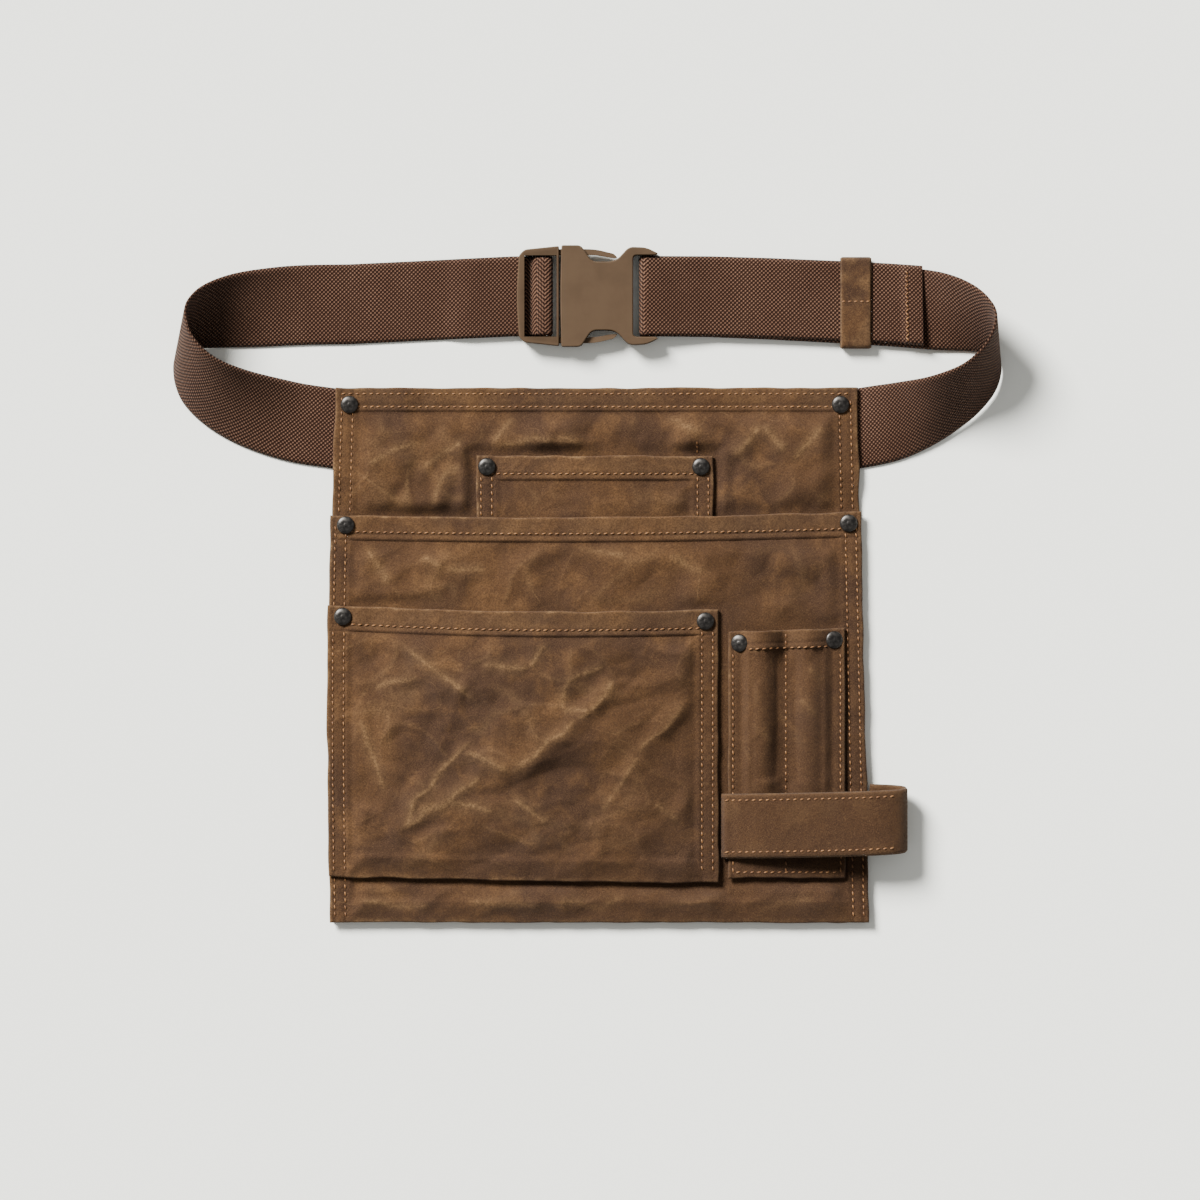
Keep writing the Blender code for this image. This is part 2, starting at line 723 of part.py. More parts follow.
def loop_stations(panels):
    """The hammer loop: up over the pencil pocket, round, and back to the apron's side seam."""
    wide = panels["wide_pocket"]
    pencil = panels["pencil_pocket"]
    middle = APRON_HEIGHT / 2 - LOOP_DROP
    start = panels["large_pocket"].right(middle) + LOOP_START
    seam = HEM + GAP / 2
    last = apron_side(1, middle - LOOP_WIDTH / 2) + OVERHANG + 2 * GAP

    def pile(x):
        """The highest cloth under the loop near x."""
        highest = 0
        for step_x in (-0.1, 0, 0.1):
            for step_y in (-0.5, -0.25, 0, 0.25, 0.5):
                near = x + step_x * LOOP_WIDTH / 2
                y = middle + step_y * LOOP_WIDTH
                panel = pencil if pencil.holds(near, y, GAP) else wide
                highest = max(highest, panel.surface(near, y))
        return highest

    stations = []
    turned = False
    for across, height, shift in spline(LOOP_RISE, 2):
        x = start + LOOP_REACH * across
        turned = turned or across > 0.99
        z = mix(seam, LOOP_HEIGHT, height)
        if turned:
            x = max(x, last)
        elif x < apron_side(1, middle):
            z = max(z, pile(x) + GAP + LOOP_CLOTH / 2)
        stations.append((Vector((x, middle + LOOP_SLANT * shift, z)), Vector((0, 1, 0))))
    return stations


def outline(corners, length, half_width, grow=0.0):
    """Points of a closed outline with its corners rounded off, grown outwards by a clearance."""
    sharp = [Vector((corner.along * length, corner.aside * half_width)) for corner in corners]
    count = len(sharp)
    area = sum(sharp[i - 1].cross(sharp[i]) for i in range(count))
    turn = 1 if area > 0 else -1
    grown = []
    for i, point in enumerate(sharp):
        back = (point - sharp[i - 1]).normalized()
        ahead = (sharp[(i + 1) % count] - point).normalized()
        out = Vector((back.y + ahead.y, -back.x - ahead.x)).normalized() * turn
        grown.append(point + out * grow)
    points = []
    for i, corner in enumerate(corners):
        here = grown[i]
        before = grown[i - 1]
        after = grown[(i + 1) % count]
        trim = corner.trim * min((before - here).length, (after - here).length)
        start = here + (before - here).normalized() * trim
        end = here + (after - here).normalized() * trim
        for step in range(4):
            t = step / 3
            points.append(start * (1 - t) ** 2 + here * 2 * t * (1 - t) + end * t**2)
    return points


def both_sides(corners):
    """The whole outline of a buckle piece from the corners of its upper half."""
    mirrored = [Corner(c.along, -c.aside, c.trim) for c in reversed(corners) if c.aside > 0]
    return corners + mirrored


def plate(name, points, origin, low, high, home, finish=None):
    """A flat plate with this outline."""
    bm = bmesh.new()
    face = bm.faces.new([bm.verts.new((point.x, point.y, low)) for point in points])
    side = bmesh.ops.extrude_face_region(bm, geom=[face], use_keep_orig=True)
    moved = [item for item in side["geom"] if isinstance(item, bmesh.types.BMVert)]
    bmesh.ops.translate(bm, verts=moved, vec=(0, 0, high - low))
    bmesh.ops.recalc_face_normals(bm, faces=bm.faces)
    made = add_object(name, bm, home, finish)
    made.location = origin
    return made


def block(name, centre, size, home):
    """A box used to cut or to add to another piece."""
    bm = bmesh.new()
    bmesh.ops.create_cube(bm, size=1)
    bmesh.ops.scale(bm, verts=bm.verts, vec=size)
    made = add_object(name, bm, home)
    made.location = centre
    return made


def hide(obj):
    obj.hide_render = True
    obj.display_type = "WIRE"
    return obj


def soften(obj, width):
    bevel = obj.modifiers.new("soft edges", "BEVEL")
    bevel.width = width
    bevel.segments = 1
    bevel.limit_method = "ANGLE"
    bevel.angle_limit = math.radians(50)


def combine(obj, other, operation):
    joined = obj.modifiers.new(other.name, "BOOLEAN")
    joined.operation = operation
    joined.object = other
    joined.solver = "EXACT"


def prong_plate(name, side, origin, grow, home):
    """One of the latch's two springy prongs, or the tunnel that it slides in."""
    points = outline(PRONG_CORNERS, PRONG_LENGTH, PRONG_WIDTH, grow)
    points = [Vector((point.x, side * (PRONG_OFFSET + point.y))) for point in points]
    half = PRONG_THICKNESS / 2 + grow
    return hide(plate(name, points, origin, -half, half, home))


def build_buckle(home, cutters, finish):
    """The latch half and the socket half of the buckle, fastened."""
    half_width = BUCKLE_WIDTH / 2
    half = BUCKLE_THICKNESS / 2
    slot = BELT_WIDTH / 2 + SLOT_CLEARANCE
    female_origin = buckle_point(FEMALE_LEFT)
    female_outline = outline(both_sides(FEMALE_CORNERS), FEMALE_LENGTH, half_width)
    female = plate("buckle_socket", female_outline, female_origin, -half, half, home, finish)
    soften(female, BUCKLE_EDGE)
    bar_overlap = 2 * (slot + BUCKLE_EDGE)
    bar = block(
        "socket bar",
        buckle_point(FEMALE_LEFT + FEMALE_BAR_PLACE),
        (FEMALE_BAR_WIDTH, bar_overlap, BAR_THICKNESS),
        cutters,
    )
    soften(bar, BAR_THICKNESS / 4)
    combine(female, hide(bar), "UNION")

    male_origin = buckle_point(male_left())
    thin = half - MALE_INSET
    male_outline = outline(both_sides(MALE_CORNERS), MALE_LENGTH, half_width)
    male = plate("buckle_latch", male_outline, male_origin, -thin, thin, home, finish)
    soften(male, BUCKLE_EDGE)
    window_length = MALE_LENGTH - OUTER_BAR_WIDTH - MALE_WALL
    window = block(
        "latch window",
        buckle_point(male_left() + OUTER_BAR_WIDTH + window_length / 2),
        (window_length, 2 * slot, 2 * BUCKLE_THICKNESS),
        cutters,
    )
    combine(male, hide(window), "DIFFERENCE")
    under_height = OUTER_BAR_CLEARANCE + BUCKLE_THICKNESS
    under = block(
        "strap way",
        Vector((male_left(), BUCKLE_RISE, OUTER_BAR_CLEARANCE - under_height / 2)),
        (3 * OUTER_BAR_WIDTH, 2 * slot, under_height),
        cutters,
    )
    combine(male, hide(under), "DIFFERENCE")
    middle = block(
        "middle bar",
        buckle_point(male_left() + MIDDLE_BAR_PLACE),
        (MIDDLE_BAR_WIDTH, bar_overlap, BAR_THICKNESS),
        cutters,
    )
    soften(middle, BAR_THICKNESS / 4)
    combine(male, hide(middle), "UNION")

    prong_start = buckle_point(male_left() + MALE_LENGTH - MALE_WALL)
    for side, word in ((1, "upper"), (-1, "lower")):
        prong = prong_plate(f"{word} prong", side, prong_start, 0, cutters)
        combine(male, prong, "UNION")
        tunnel = prong_plate(f"{word} tunnel", side, prong_start, PRONG_CLEARANCE, cutters)
        combine(female, tunnel, "DIFFERENCE")


def build_keeper(home, finish):
    """The canvas band round both layers of the belt."""
    tail_share = (KEEPER_CENTRE - FEMALE_LEFT - FEMALE_BAR_PLACE) / TAIL_LENGTH
    shift = TAIL_SHIFT * tail_share / 2
    half_width = BELT_WIDTH / 2 + shift + KEEPER_SLACK + CANVAS / 2
    half_height = (2 * WEBBING + GAP) / 2 + GAP + CANVAS / 2
    centre_z = KEEPER_LIFT + WEBBING + GAP / 2
    belt_y = BELT_Y + BELT_RISE + shift
    bm = bmesh.new()
    radius = half_height * 0.6
    points = []
    for corner_y, corner_z, turn in ((1, -1, -90), (1, 1, 0), (-1, 1, 90), (-1, -1, 180)):
        for step in range(3):
            angle = math.radians(turn + 45 * step)
            y = corner_y * (half_width - radius) + radius * math.cos(angle)
            z = corner_z * (half_height - radius) + radius * math.sin(angle)
            points.append((-KEEPER_LENGTH / 2, y, z))
    ring = [bm.verts.new(point) for point in points]
    edges = [bm.edges.new((ring[i - 1], ring[i])) for i in range(len(ring))]
    wall = bmesh.ops.extrude_edge_only(bm, edges=edges)
    moved = [item for item in wall["geom"] if isinstance(item, bmesh.types.BMVert)]
    bmesh.ops.translate(bm, verts=moved, vec=(KEEPER_LENGTH, 0, 0))
    bmesh.ops.recalc_face_normals(bm, faces=bm.faces)
    keeper = add_object("keeper", bm, home, finish)
    keeper.location = (KEEPER_CENTRE, belt_y, centre_z)
    solidify = keeper.modifiers.new("cloth", "SOLIDIFY")
    solidify.thickness = CANVAS
    solidify.offset = 0
    solidify.use_even_offset = True
    return keeper


def turned(name, profile, home, finish=None):
    """A round piece from a profile of radius and height, listed from the top down."""
    bm = bmesh.new()
    points = [bm.verts.new((radius, 0, height)) for radius, height in profile]
    for upper, lower in zip(points, points[1:]):
        bm.edges.new((upper, lower))
    made = add_object(name, bm, home, finish)
    screw = made.modifiers.new("turn", "SCREW")
    screw.steps = RIVET_SIDES
    screw.render_steps = RIVET_SIDES
    screw.use_merge_vertices = True
    screw.merge_threshold = 0.00001
    return made


def rivet_seat(rivet, panels):
    """The rivet's place on its panel, its axis, and how thick the cloth under its cap is."""
    panel = panels[rivet.panel]
    top = panel.top_left
    edge = panel.left(top) if rivet.side < 0 else panel.right(top)
    x = edge - rivet.side * rivet.inset * 2 * CAP_RADIUS
    y = panel.top(x) - rivet.drop * 2 * CAP_RADIUS
    last = panels[rivet.last]
    high = panel.surface(x, y)
    axis = Vector((0, 0, 1))
    if last.below:
        slope_x = panel.underside(x + CAP_RADIUS, y) - panel.underside(x - CAP_RADIUS, y)
        slope_y = panel.underside(x, y + CAP_RADIUS) - panel.underside(x, y - CAP_RADIUS)
        axis = Vector((-slope_x, -slope_y, 2 * CAP_RADIUS)).normalized()
        low = last.underside(x, y) - GAP - DISC_THICKNESS
    else:
        low = DISC_INSET
    return Vector((x, y, high + GAP)), axis, high + GAP - low


def build_rivets(panels, home, cutters, finish):
    for number, rivet in enumerate(RIVETS, 1):
        seat, axis, length = rivet_seat(rivet, panels)
        turn = Vector((0, 0, 1)).rotation_difference(axis).to_euler()
        profile = [
            (0, CAP_HEIGHT),
            (0.50 * CAP_RADIUS, 0.90 * CAP_HEIGHT),
            (0.85 * CAP_RADIUS, 0.60 * CAP_HEIGHT),
            (CAP_RADIUS, 0.15 * CAP_HEIGHT),
            (0.97 * CAP_RADIUS, 0),
            (POST_RADIUS, 0),
            (POST_RADIUS, DISC_THICKNESS - length),
            (DISC_RADIUS, DISC_THICKNESS - length),
            (DISC_RADIUS, -length),
            (0, -length),
        ]
        made = turned(f"rivet_{number:02d}", profile, home, finish)
        hole_radius = POST_RADIUS + POST_CLEARANCE
        hole_foot = -length + DISC_THICKNESS + GAP / 2
        hole_top = CAP_HEIGHT
        hole_profile = [(0, hole_top), (hole_radius, hole_top), (hole_radius, hole_foot), (0, hole_foot)]
        hole = turned(f"hole {number:02d}", hole_profile, cutters)
        pieces = [made, hole]
        if not panels[rivet.last].below:
            recess_radius = DISC_RADIUS + GAP
            recess_top = -length + DISC_THICKNESS + GAP
            recess_foot = -length - HEM
            recess = [
                (0, recess_top),
                (recess_radius, recess_top),
                (recess_radius, recess_foot),
                (0, recess_foot),
            ]
            pieces.append(turned(f"recess {number:02d}", recess, cutters))
        for piece in pieces:
            piece.location = seat
            piece.rotation_euler = turn
        for piece in pieces[1:]:
            hide(piece)


def build_apron():
    clear_scene()
    home = collection("tool_apron")
    rivet_cutters = collection("rivet cutters")
    buckle_cutters = collection("buckle cutters")
    canvas = material("waxed canvas", (0.21, 0.115, 0.055), 0.75)
    webbing = material("webbing", (0.12, 0.065, 0.042), 0.85)
    plastic = material("moulded plastic", (0.18, 0.115, 0.07), 0.45)
    metal = material("gunmetal", (0.06, 0.06, 0.062), 0.4, 0.9)

    panels = apron_panels()
    build_rivets(panels, home, rivet_cutters, metal)
    for panel in panels.values():
        sew_panel(panel, home, canvas, rivet_cutters)
    sew_ribbon("hammer_loop", loop_stations(panels), LOOP_WIDTH, LOOP_CLOTH, home, canvas)
    left = sew_ribbon("belt_left", left_belt_stations(), BELT_WIDTH, WEBBING, home, webbing)
    right = sew_ribbon("belt_right", right_belt_stations(), BELT_WIDTH, WEBBING, home, webbing, doubled=2)
    drill(left, rivet_cutters)
    drill(right, rivet_cutters)
    build_keeper(home, canvas)
    build_buckle(home, buckle_cutters, plastic)


build_apron()
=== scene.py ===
"""Looks of the waist tool apron: waxed canvas, stitches, woven belt, buckle and rivets."""

import math
from collections import namedtuple

import bmesh
import bpy
import numpy as np
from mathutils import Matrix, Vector


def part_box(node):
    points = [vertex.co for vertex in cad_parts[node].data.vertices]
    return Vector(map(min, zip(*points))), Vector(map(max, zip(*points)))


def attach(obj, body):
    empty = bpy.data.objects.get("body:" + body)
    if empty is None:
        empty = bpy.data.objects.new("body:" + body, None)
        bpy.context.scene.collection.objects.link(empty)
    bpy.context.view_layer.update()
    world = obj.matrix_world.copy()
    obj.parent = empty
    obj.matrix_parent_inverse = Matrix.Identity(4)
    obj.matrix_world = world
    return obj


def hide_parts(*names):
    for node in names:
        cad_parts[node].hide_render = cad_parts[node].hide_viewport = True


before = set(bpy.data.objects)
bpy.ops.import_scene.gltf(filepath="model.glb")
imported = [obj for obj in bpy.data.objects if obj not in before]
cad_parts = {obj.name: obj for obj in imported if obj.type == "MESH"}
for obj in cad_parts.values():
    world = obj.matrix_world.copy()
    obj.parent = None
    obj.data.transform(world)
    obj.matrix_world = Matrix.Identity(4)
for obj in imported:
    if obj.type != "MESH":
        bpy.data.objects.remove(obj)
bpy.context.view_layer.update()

MM = 0.001

# Cloth, in metres
CANVAS = 0.0015
HEM = 0.0027
WEBBING = 0.0018
LOOP_CLOTH = 0.0024
GAP = 0.0003
NEST = 0.0005
HEM_STEP = 0.0012
SIDE_FALL = 0.0040
SIDE_HEM = 0.012
BOTTOM_HEM = 0.012
COVER_FALL = 0.020

# Seams, rims and stitches of the visible cloth
BAND_ROW = 0.0032
SEAM_PULL = 0.0008
LIP_WIDTH = 0.00045
LIP_DROP = 0.0007
SEAM_SIDE = 0.0007
GROOVE = 0.34 * MM
FULL_GROOVE = 0.40 * MM
CLOTH_RIM = 0.0013
STRAP_RIM = 0.0009
KEEPER_RIM = 0.0008
PITCH = 0.0043
STITCH = 0.0033
THREAD_RADIUS = 0.00047
SLANT = 12
LIFT = 0.00016

# Apron
APRON_HEIGHT = 0.334
APRON_TOP_WIDTH = 0.326
APRON_BOTTOM_WIDTH = 0.3355
APRON_SKEW = 0.002
APRON_BOW = 0.0024
APRON_TOP_HEM = 0.014
OVERHANG = 0.0006
SEAM = 0.0135
FOLD_HEIGHT = 0.0014
FOLD_SPREAD = 0.011

WIDE_DROP = 0.0794
WIDE_TILT = 0.0019
WIDE_SAG = 0.0025
WIDE_BAND = 0.0148
WIDE_DEPTH = 0.0095

UPPER_DROP = 0.0425
UPPER_HEIGHT = 0.110
UPPER_WIDTH = 0.148
UPPER_OFFSET = -0.002
UPPER_BAND = 0.0145
UPPER_DEPTH = 0.0052

LARGE_DROP = 0.1356
LARGE_TILT = -0.0028
LARGE_SAG = 0.0028
LARGE_HEIGHT = 0.1697
LARGE_FOOT_TILT = -0.0038
LARGE_WIDTH = 0.2431
LARGE_BAND = 0.0150
LARGE_DEPTH = 0.0078

PENCIL_SPACE = 0.006
PENCIL_DROP = 0.1525
PENCIL_TILT = 0.0025
PENCIL_HEIGHT = 0.1538
PENCIL_WIDTH = 0.0729
PENCIL_BAND = 0.0110
PENCIL_SEAM = 0.0128
PENCIL_MIDDLE = 0.0360
PENCIL_MIDDLE_SEAM = 0.0028
TUBE_DEPTH = 0.0085

# Hammer loop
LOOP_WIDTH = 0.0405
LOOP_START = 0.0011
LOOP_REACH = 0.1155
LOOP_HEIGHT = 0.0224
LOOP_DROP = 0.2737
LOOP_SLANT = 0.006

# Belt
BELT_WIDTH = 0.050
BELT_DROP = 0.0253
BELT_SLOPE = math.radians(8.5)
STUB = 0.036
STUB_FALL = 0.020
LEFT_REACH = 0.0956
RIGHT_REACH = 0.0865
BELT_RISE = 0.0775
RETURN_LENGTH = 0.045
TAIL_LENGTH = 0.1735
TAIL_HEM = 0.012
TAIL_SHIFT = 0.0020
KEEPER_LENGTH = 0.0194
KEEPER_SLACK = 0.0014
KEEPER_CENTRE = 0.1610

# Buckle
BUCKLE_RISE = 0.2241
BUCKLE_WIDTH = 0.0634
BUCKLE_THICKNESS = 0.0115
FEMALE_LEFT = -0.0231
FEMALE_LENGTH = 0.0606
FEMALE_BAR_WIDTH = 0.0050
FEMALE_BAR_PLACE = 0.0533
MALE_LENGTH = 0.0267
MALE_GAP = 0.0012
MALE_WALL = 0.0016
MALE_INSET = 0.0009
MIDDLE_BAR_WIDTH = 0.0084
MIDDLE_BAR_PLACE = 0.0165
OUTER_BAR_WIDTH = 0.0050
OUTER_BAR_CLEARANCE = 0.0048
BAR_THICKNESS = 0.0030
SLOT_CLEARANCE = 0.0004
WRAP_CLEARANCE = 0.0007
PRONG_WIDTH = 0.0036
PRONG_THICKNESS = 0.0060
PRONG_LENGTH = 0.0385
PRONG_OFFSET = 0.0275
PRONG_CLEARANCE = 0.00035
EDGE_ROUNDING = 0.0009
BAR_ROOT = 0.0013

# Rivets
CAP_RADIUS = 0.0055
CAP_HEIGHT = 0.0024

BELT_Y = APRON_HEIGHT / 2 - BELT_DROP
KEEPER_LIFT = CANVAS + GAP
LAYER_STEP = WEBBING + GAP

# A fold runs from one place to another, in shares of its panel's width and height.
Fold = namedtuple("Fold", "across_a up_a across_b up_b height spread")
BACK_FOLDS = [
    Fold(0.10, 0.90, 0.16, 0.80, 0.8, 1.1),
    Fold(0.22, 0.93, 0.15, 0.79, 0.9, 1.0),
    Fold(0.77, 0.88, 0.82, 0.94, 1.0, 1.0),
    Fold(0.88, 0.80, 0.95, 0.84, 0.8, 1.0),
]
WIDE_FOLDS = [
    Fold(0.17, 0.91, 0.25, 0.85, 0.8, 1.0),
    Fold(0.80, 0.91, 0.90, 0.87, 0.9, 1.1),
    Fold(0.30, 0.05, 0.42, 0.04, 0.6, 1.0),
]
LARGE_FOLDS = [
    Fold(0.18, 0.17, 0.36, 0.75, 1.0, 0.9),
    Fold(0.18, 0.17, 0.40, 0.42, 0.8, 0.9),
    Fold(0.36, 0.48, 0.50, 0.38, 1.1, 0.9),
    Fold(0.50, 0.38, 0.72, 0.72, 1.0, 0.9),
    Fold(0.92, 0.66, 0.73, 0.33, 0.9, 1.0),
    Fold(0.20, 0.88, 0.36, 0.69, 0.7, 1.0),
]

# A sharp crease in the wax: where it runs, its height (a valley is negative) and its width, in millimetres.
Crease = namedtuple("Crease", "across_a up_a across_b up_b height width")
BACK_CREASES = [
    Crease(0.235, 0.945, 0.110, 0.865, -1.3, 12),
    Crease(0.235, 0.875, 0.120, 0.790, -1.5, 12),
    Crease(0.245, 0.905, 0.165, 0.850, 0.8, 11),
    Crease(0.660, 0.940, 0.630, 0.880, -0.9, 9),
    Crease(0.930, 0.930, 0.880, 0.860, 0.7, 9),
    Crease(0.117, 0.943, 0.092, 0.881, -0.9, 8),
    Crease(0.176, 0.846, 0.136, 0.814, -0.8, 7),
    Crease(0.136, 0.814, 0.125, 0.767, -0.8, 7),
    Crease(0.301, 0.896, 0.341, 0.950, 0.9, 8),
    Crease(0.301, 0.889, 0.421, 0.904, 0.6, 6),
    Crease(0.421, 0.904, 0.477, 0.889, 0.6, 6),
    Crease(0.481, 0.954, 0.481, 0.907, -0.8, 7),
    Crease(0.761, 0.872, 0.816, 0.932, 1.1, 9),
    Crease(0.816, 0.932, 0.860, 0.880, 0.6, 7),
    Crease(0.958, 0.829, 0.874, 0.767, -0.9, 9),
    Crease(0.060, 0.860, 0.160, 0.900, 0.5, 6),
    Crease(0.640, 0.945, 0.700, 0.910, 0.5, 7),
    Crease(0.190, 0.780, 0.240, 0.860, 0.5, 7),
]
WIDE_CREASES = [
    Crease(0.168, 0.904, 0.215, 0.872, 0.9, 7),
    Crease(0.215, 0.872, 0.300, 0.860, 0.5, 6),
    Crease(0.867, 0.936, 0.789, 0.847, -0.9, 9),
    Crease(0.942, 0.877, 0.875, 0.795, -0.9, 9),
    Crease(0.070, 0.930, 0.110, 0.830, 0.5, 7),
    Crease(0.460, 0.930, 0.560, 0.905, 0.5, 8),
    Crease(0.640, 0.900, 0.700, 0.860, 0.5, 7),
    Crease(0.060, 0.050, 0.190, 0.032, 0.6, 5),
    Crease(0.250, 0.060, 0.400, 0.030, 0.6, 5),
    Crease(0.420, 0.035, 0.560, 0.058, 0.7, 5),
    Crease(0.600, 0.040, 0.720, 0.060, 0.6, 5),
    Crease(0.780, 0.030, 0.900, 0.060, 0.6, 5),
]
LARGE_CREASES = [
    Crease(0.182, 0.180, 0.362, 0.526, 1.2, 8),
    Crease(0.182, 0.180, 0.395, 0.393, 1.0, 7),
    Crease(0.354, 0.471, 0.467, 0.401, 1.1, 6),
    Crease(0.467, 0.401, 0.639, 0.599, 1.1, 7),
    Crease(0.639, 0.599, 0.745, 0.735, 1.0, 7),
    Crease(0.087, 0.585, 0.144, 0.327, 0.8, 8),
    Crease(0.200, 0.853, 0.367, 0.680, 0.9, 8),
    Crease(0.395, 0.798, 0.511, 0.794, 0.8, 6),
    Crease(0.511, 0.794, 0.567, 0.879, 0.8, 6),
    Crease(0.606, 0.735, 0.644, 0.776, 0.8, 6),
    Crease(0.644, 0.776, 0.706, 0.798, 0.8, 6),
    Crease(0.606, 0.735, 0.606, 0.632, 0.9, 6),
    Crease(0.606, 0.632, 0.668, 0.640, 0.8, 6),
    Crease(0.668, 0.640, 0.729, 0.710, 0.8, 6),
    Crease(0.747, 0.393, 0.696, 0.250, -1.2, 9),
    Crease(0.696, 0.250, 0.634, 0.162, -1.1, 9),
    Crease(0.634, 0.162, 0.562, 0.048, -1.0, 9),
    Crease(0.906, 0.669, 0.796, 0.471, 1.1, 8),
    Crease(0.796, 0.471, 0.729, 0.327, 1.1, 7),
    Crease(0.729, 0.327, 0.696, 0.265, 0.9, 6),
    Crease(0.300, 0.300, 0.420, 0.260, 0.6, 6),
    Crease(0.480, 0.300, 0.560, 0.220, 0.6, 7),
    Crease(0.830, 0.300, 0.900, 0.220, 0.6, 7),
    Crease(0.120, 0.700, 0.220, 0.760, 0.5, 7),
]
PENCIL_CREASES = [
    Crease(0.16, 0.86, 0.24, 0.70, 0.5, 4),
    Crease(0.70, 0.84, 0.88, 0.76, 0.6, 4),
    Crease(0.62, 0.72, 0.74, 0.66, 0.4, 4),
    Crease(0.20, 0.62, 0.36, 0.56, 0.4, 4),
]

# One station of the belt's turn: its centre in shares of the turn's reach and of the rise from the lower
# band to the upper one, the turn of its width away from +Y, how far it leans off the floor, both in
# degrees, and how far its low edge is lifted, in shares of the lift that the keeper gives it.
Turn = namedtuple("Turn", "across up swing lean lifted", defaults=[0.0])
LEFT_TURN = [
    Turn(0.040, 0.006, 3.7, 0.0),
    Turn(0.267, 0.050, 4.3, 4.0),
    Turn(0.552, 0.147, 8.4, 20.0),
    Turn(0.758, 0.262, 16.5, 33.0),
    Turn(0.899, 0.395, 20.0, 41.0),
    Turn(0.976, 0.536, 17.0, 43.5),
    Turn(1.000, 0.669, 15.0, 45.0),
    Turn(0.995, 0.766, 13.5, 45.0),
    Turn(0.951, 0.847, 12.5, 42.0),
    Turn(0.854, 0.903, 11.0, 34.0),
    Turn(0.690, 0.944, 8.0, 23.0),
    Turn(0.478, 0.969, 3.0, 13.0),
    Turn(0.222, 0.992, 0.0, 4.0),
    Turn(-0.100, 1.000, 0.0, 0.0),
]
RIGHT_TURN = [
    Turn(0.040, 0.006, 3.0, 0.0),
    Turn(0.278, 0.053, 4.0, 15.0),
    Turn(0.500, 0.129, 8.5, 32.0),
    Turn(0.694, 0.234, 15.0, 44.0),
    Turn(0.831, 0.337, 15.5, 49.5),
    Turn(0.944, 0.480, 14.0, 51.5),
    Turn(0.995, 0.619, 10.0, 51.5),
    Turn(1.000, 0.718, 7.0, 50.5),
    Turn(0.961, 0.802, 5.5, 47.0),
    Turn(0.856, 0.873, 4.5, 36.0, 0.1),
    Turn(0.694, 0.925, 4.0, 21.0, 0.3),
    Turn(0.496, 0.956, 2.0, 6.0, 0.7),
    Turn(0.257, 0.980, 0.7, 0.0, 1.0),
    Turn(-0.020, 1.000, 0.0, 0.0, 1.0),
]

# One station of the hammer loop, in shares of its reach, its height and its slant.
Rise = namedtuple("Rise", "across height shift")
LOOP_RISE = [
    Rise(0.000, 0.00, 0.00),
    Rise(0.025, 0.00, 0.00),
    Rise(0.058, 0.46, 0.00),
    Rise(0.136, 0.61, 0.02),
    Rise(0.240, 0.72, 0.05),
    Rise(0.420, 0.84, 0.12),
    Rise(0.595, 0.93, 0.20),
    Rise(0.768, 1.00, 0.30),
    Rise(0.880, 0.99, 0.40),
    Rise(0.958, 0.86, 0.50),
    Rise(1.000, 0.58, 0.65),
    Rise(0.986, 0.28, 0.80),
    Rise(0.932, 0.13, 0.90),
    Rise(0.863, 0.06, 0.96),
    Rise(0.789, 0.00, 1.00),
]

# A corner of a buckle outline, in shares of the piece's length and of half its width, and its rounding.
Corner = namedtuple("Corner", "along aside trim")
FEMALE_CORNERS = [
    Corner(-0.010, 0.00, 0.45),
    Corner(0.005, 1.00, 0.10),
    Corner(0.205, 1.00, 0.20),
    Corner(0.318, 0.675, 0.30),
    Corner(0.560, 0.675, 0.40),
    Corner(0.700, 0.97, 0.30),
    Corner(0.880, 0.955, 0.40),
    Corner(1.000, 0.84, 0.30),
    Corner(0.975, 0.803, 0.20),
    Corner(0.742, 0.803, 0.20),
]
MALE_CORNERS = [
    Corner(0.000, 0.00, 0.45),
    Corner(0.060, 0.80, 0.30),
    Corner(0.190, 0.915, 0.40),
    Corner(1.000, 0.985, 0.05),
]
PRONG_CORNERS = [
    Corner(0.00, 0.5, 0.02),
    Corner(0.62, 0.5, 0.40),
    Corner(0.93, -0.3, 0.30),
    Corner(1.00, -1.1, 0.40),
    Corner(0.88, -1.0, 0.40),
    Corner(0.64, -0.5, 0.40),
    Corner(0.00, -0.5, 0.02),
]

# The panels under the rivets' caps, two rivets each, in the order of the rivets' numbers
CAPPED = ("back_panel", "upper_pocket", "wide_pocket", "large_pocket", "pencil_pocket")


def mix(low, high, share):
    return low + (high - low) * share


def share_of(value, low, high):
    return np.clip((value - low) / (high - low), 0, 1)


def smooth(share):
    share = np.clip(share, 0, 1)
    return share * share * (3 - 2 * share)


def spline(rows, steps):
    """Rows of numbers on a smooth curve through the given rows, with so many steps between two of them."""
    rows = np.array(rows, float)
    points = []
    for i in range(len(rows) - 1):
        a, b, c, d = (rows[min(max(i + k, 0), len(rows) - 1)] for k in (-1, 0, 1, 2))
        for step in range(steps):
            t = step / steps
            curve = (2 * a - 5 * b + 4 * c - d) * t**2 + (3 * b - a - 3 * c + d) * t**3
            points.append(0.5 * (2 * b + (c - a) * t + curve))
    points.append(rows[-1])
    return np.array(points)


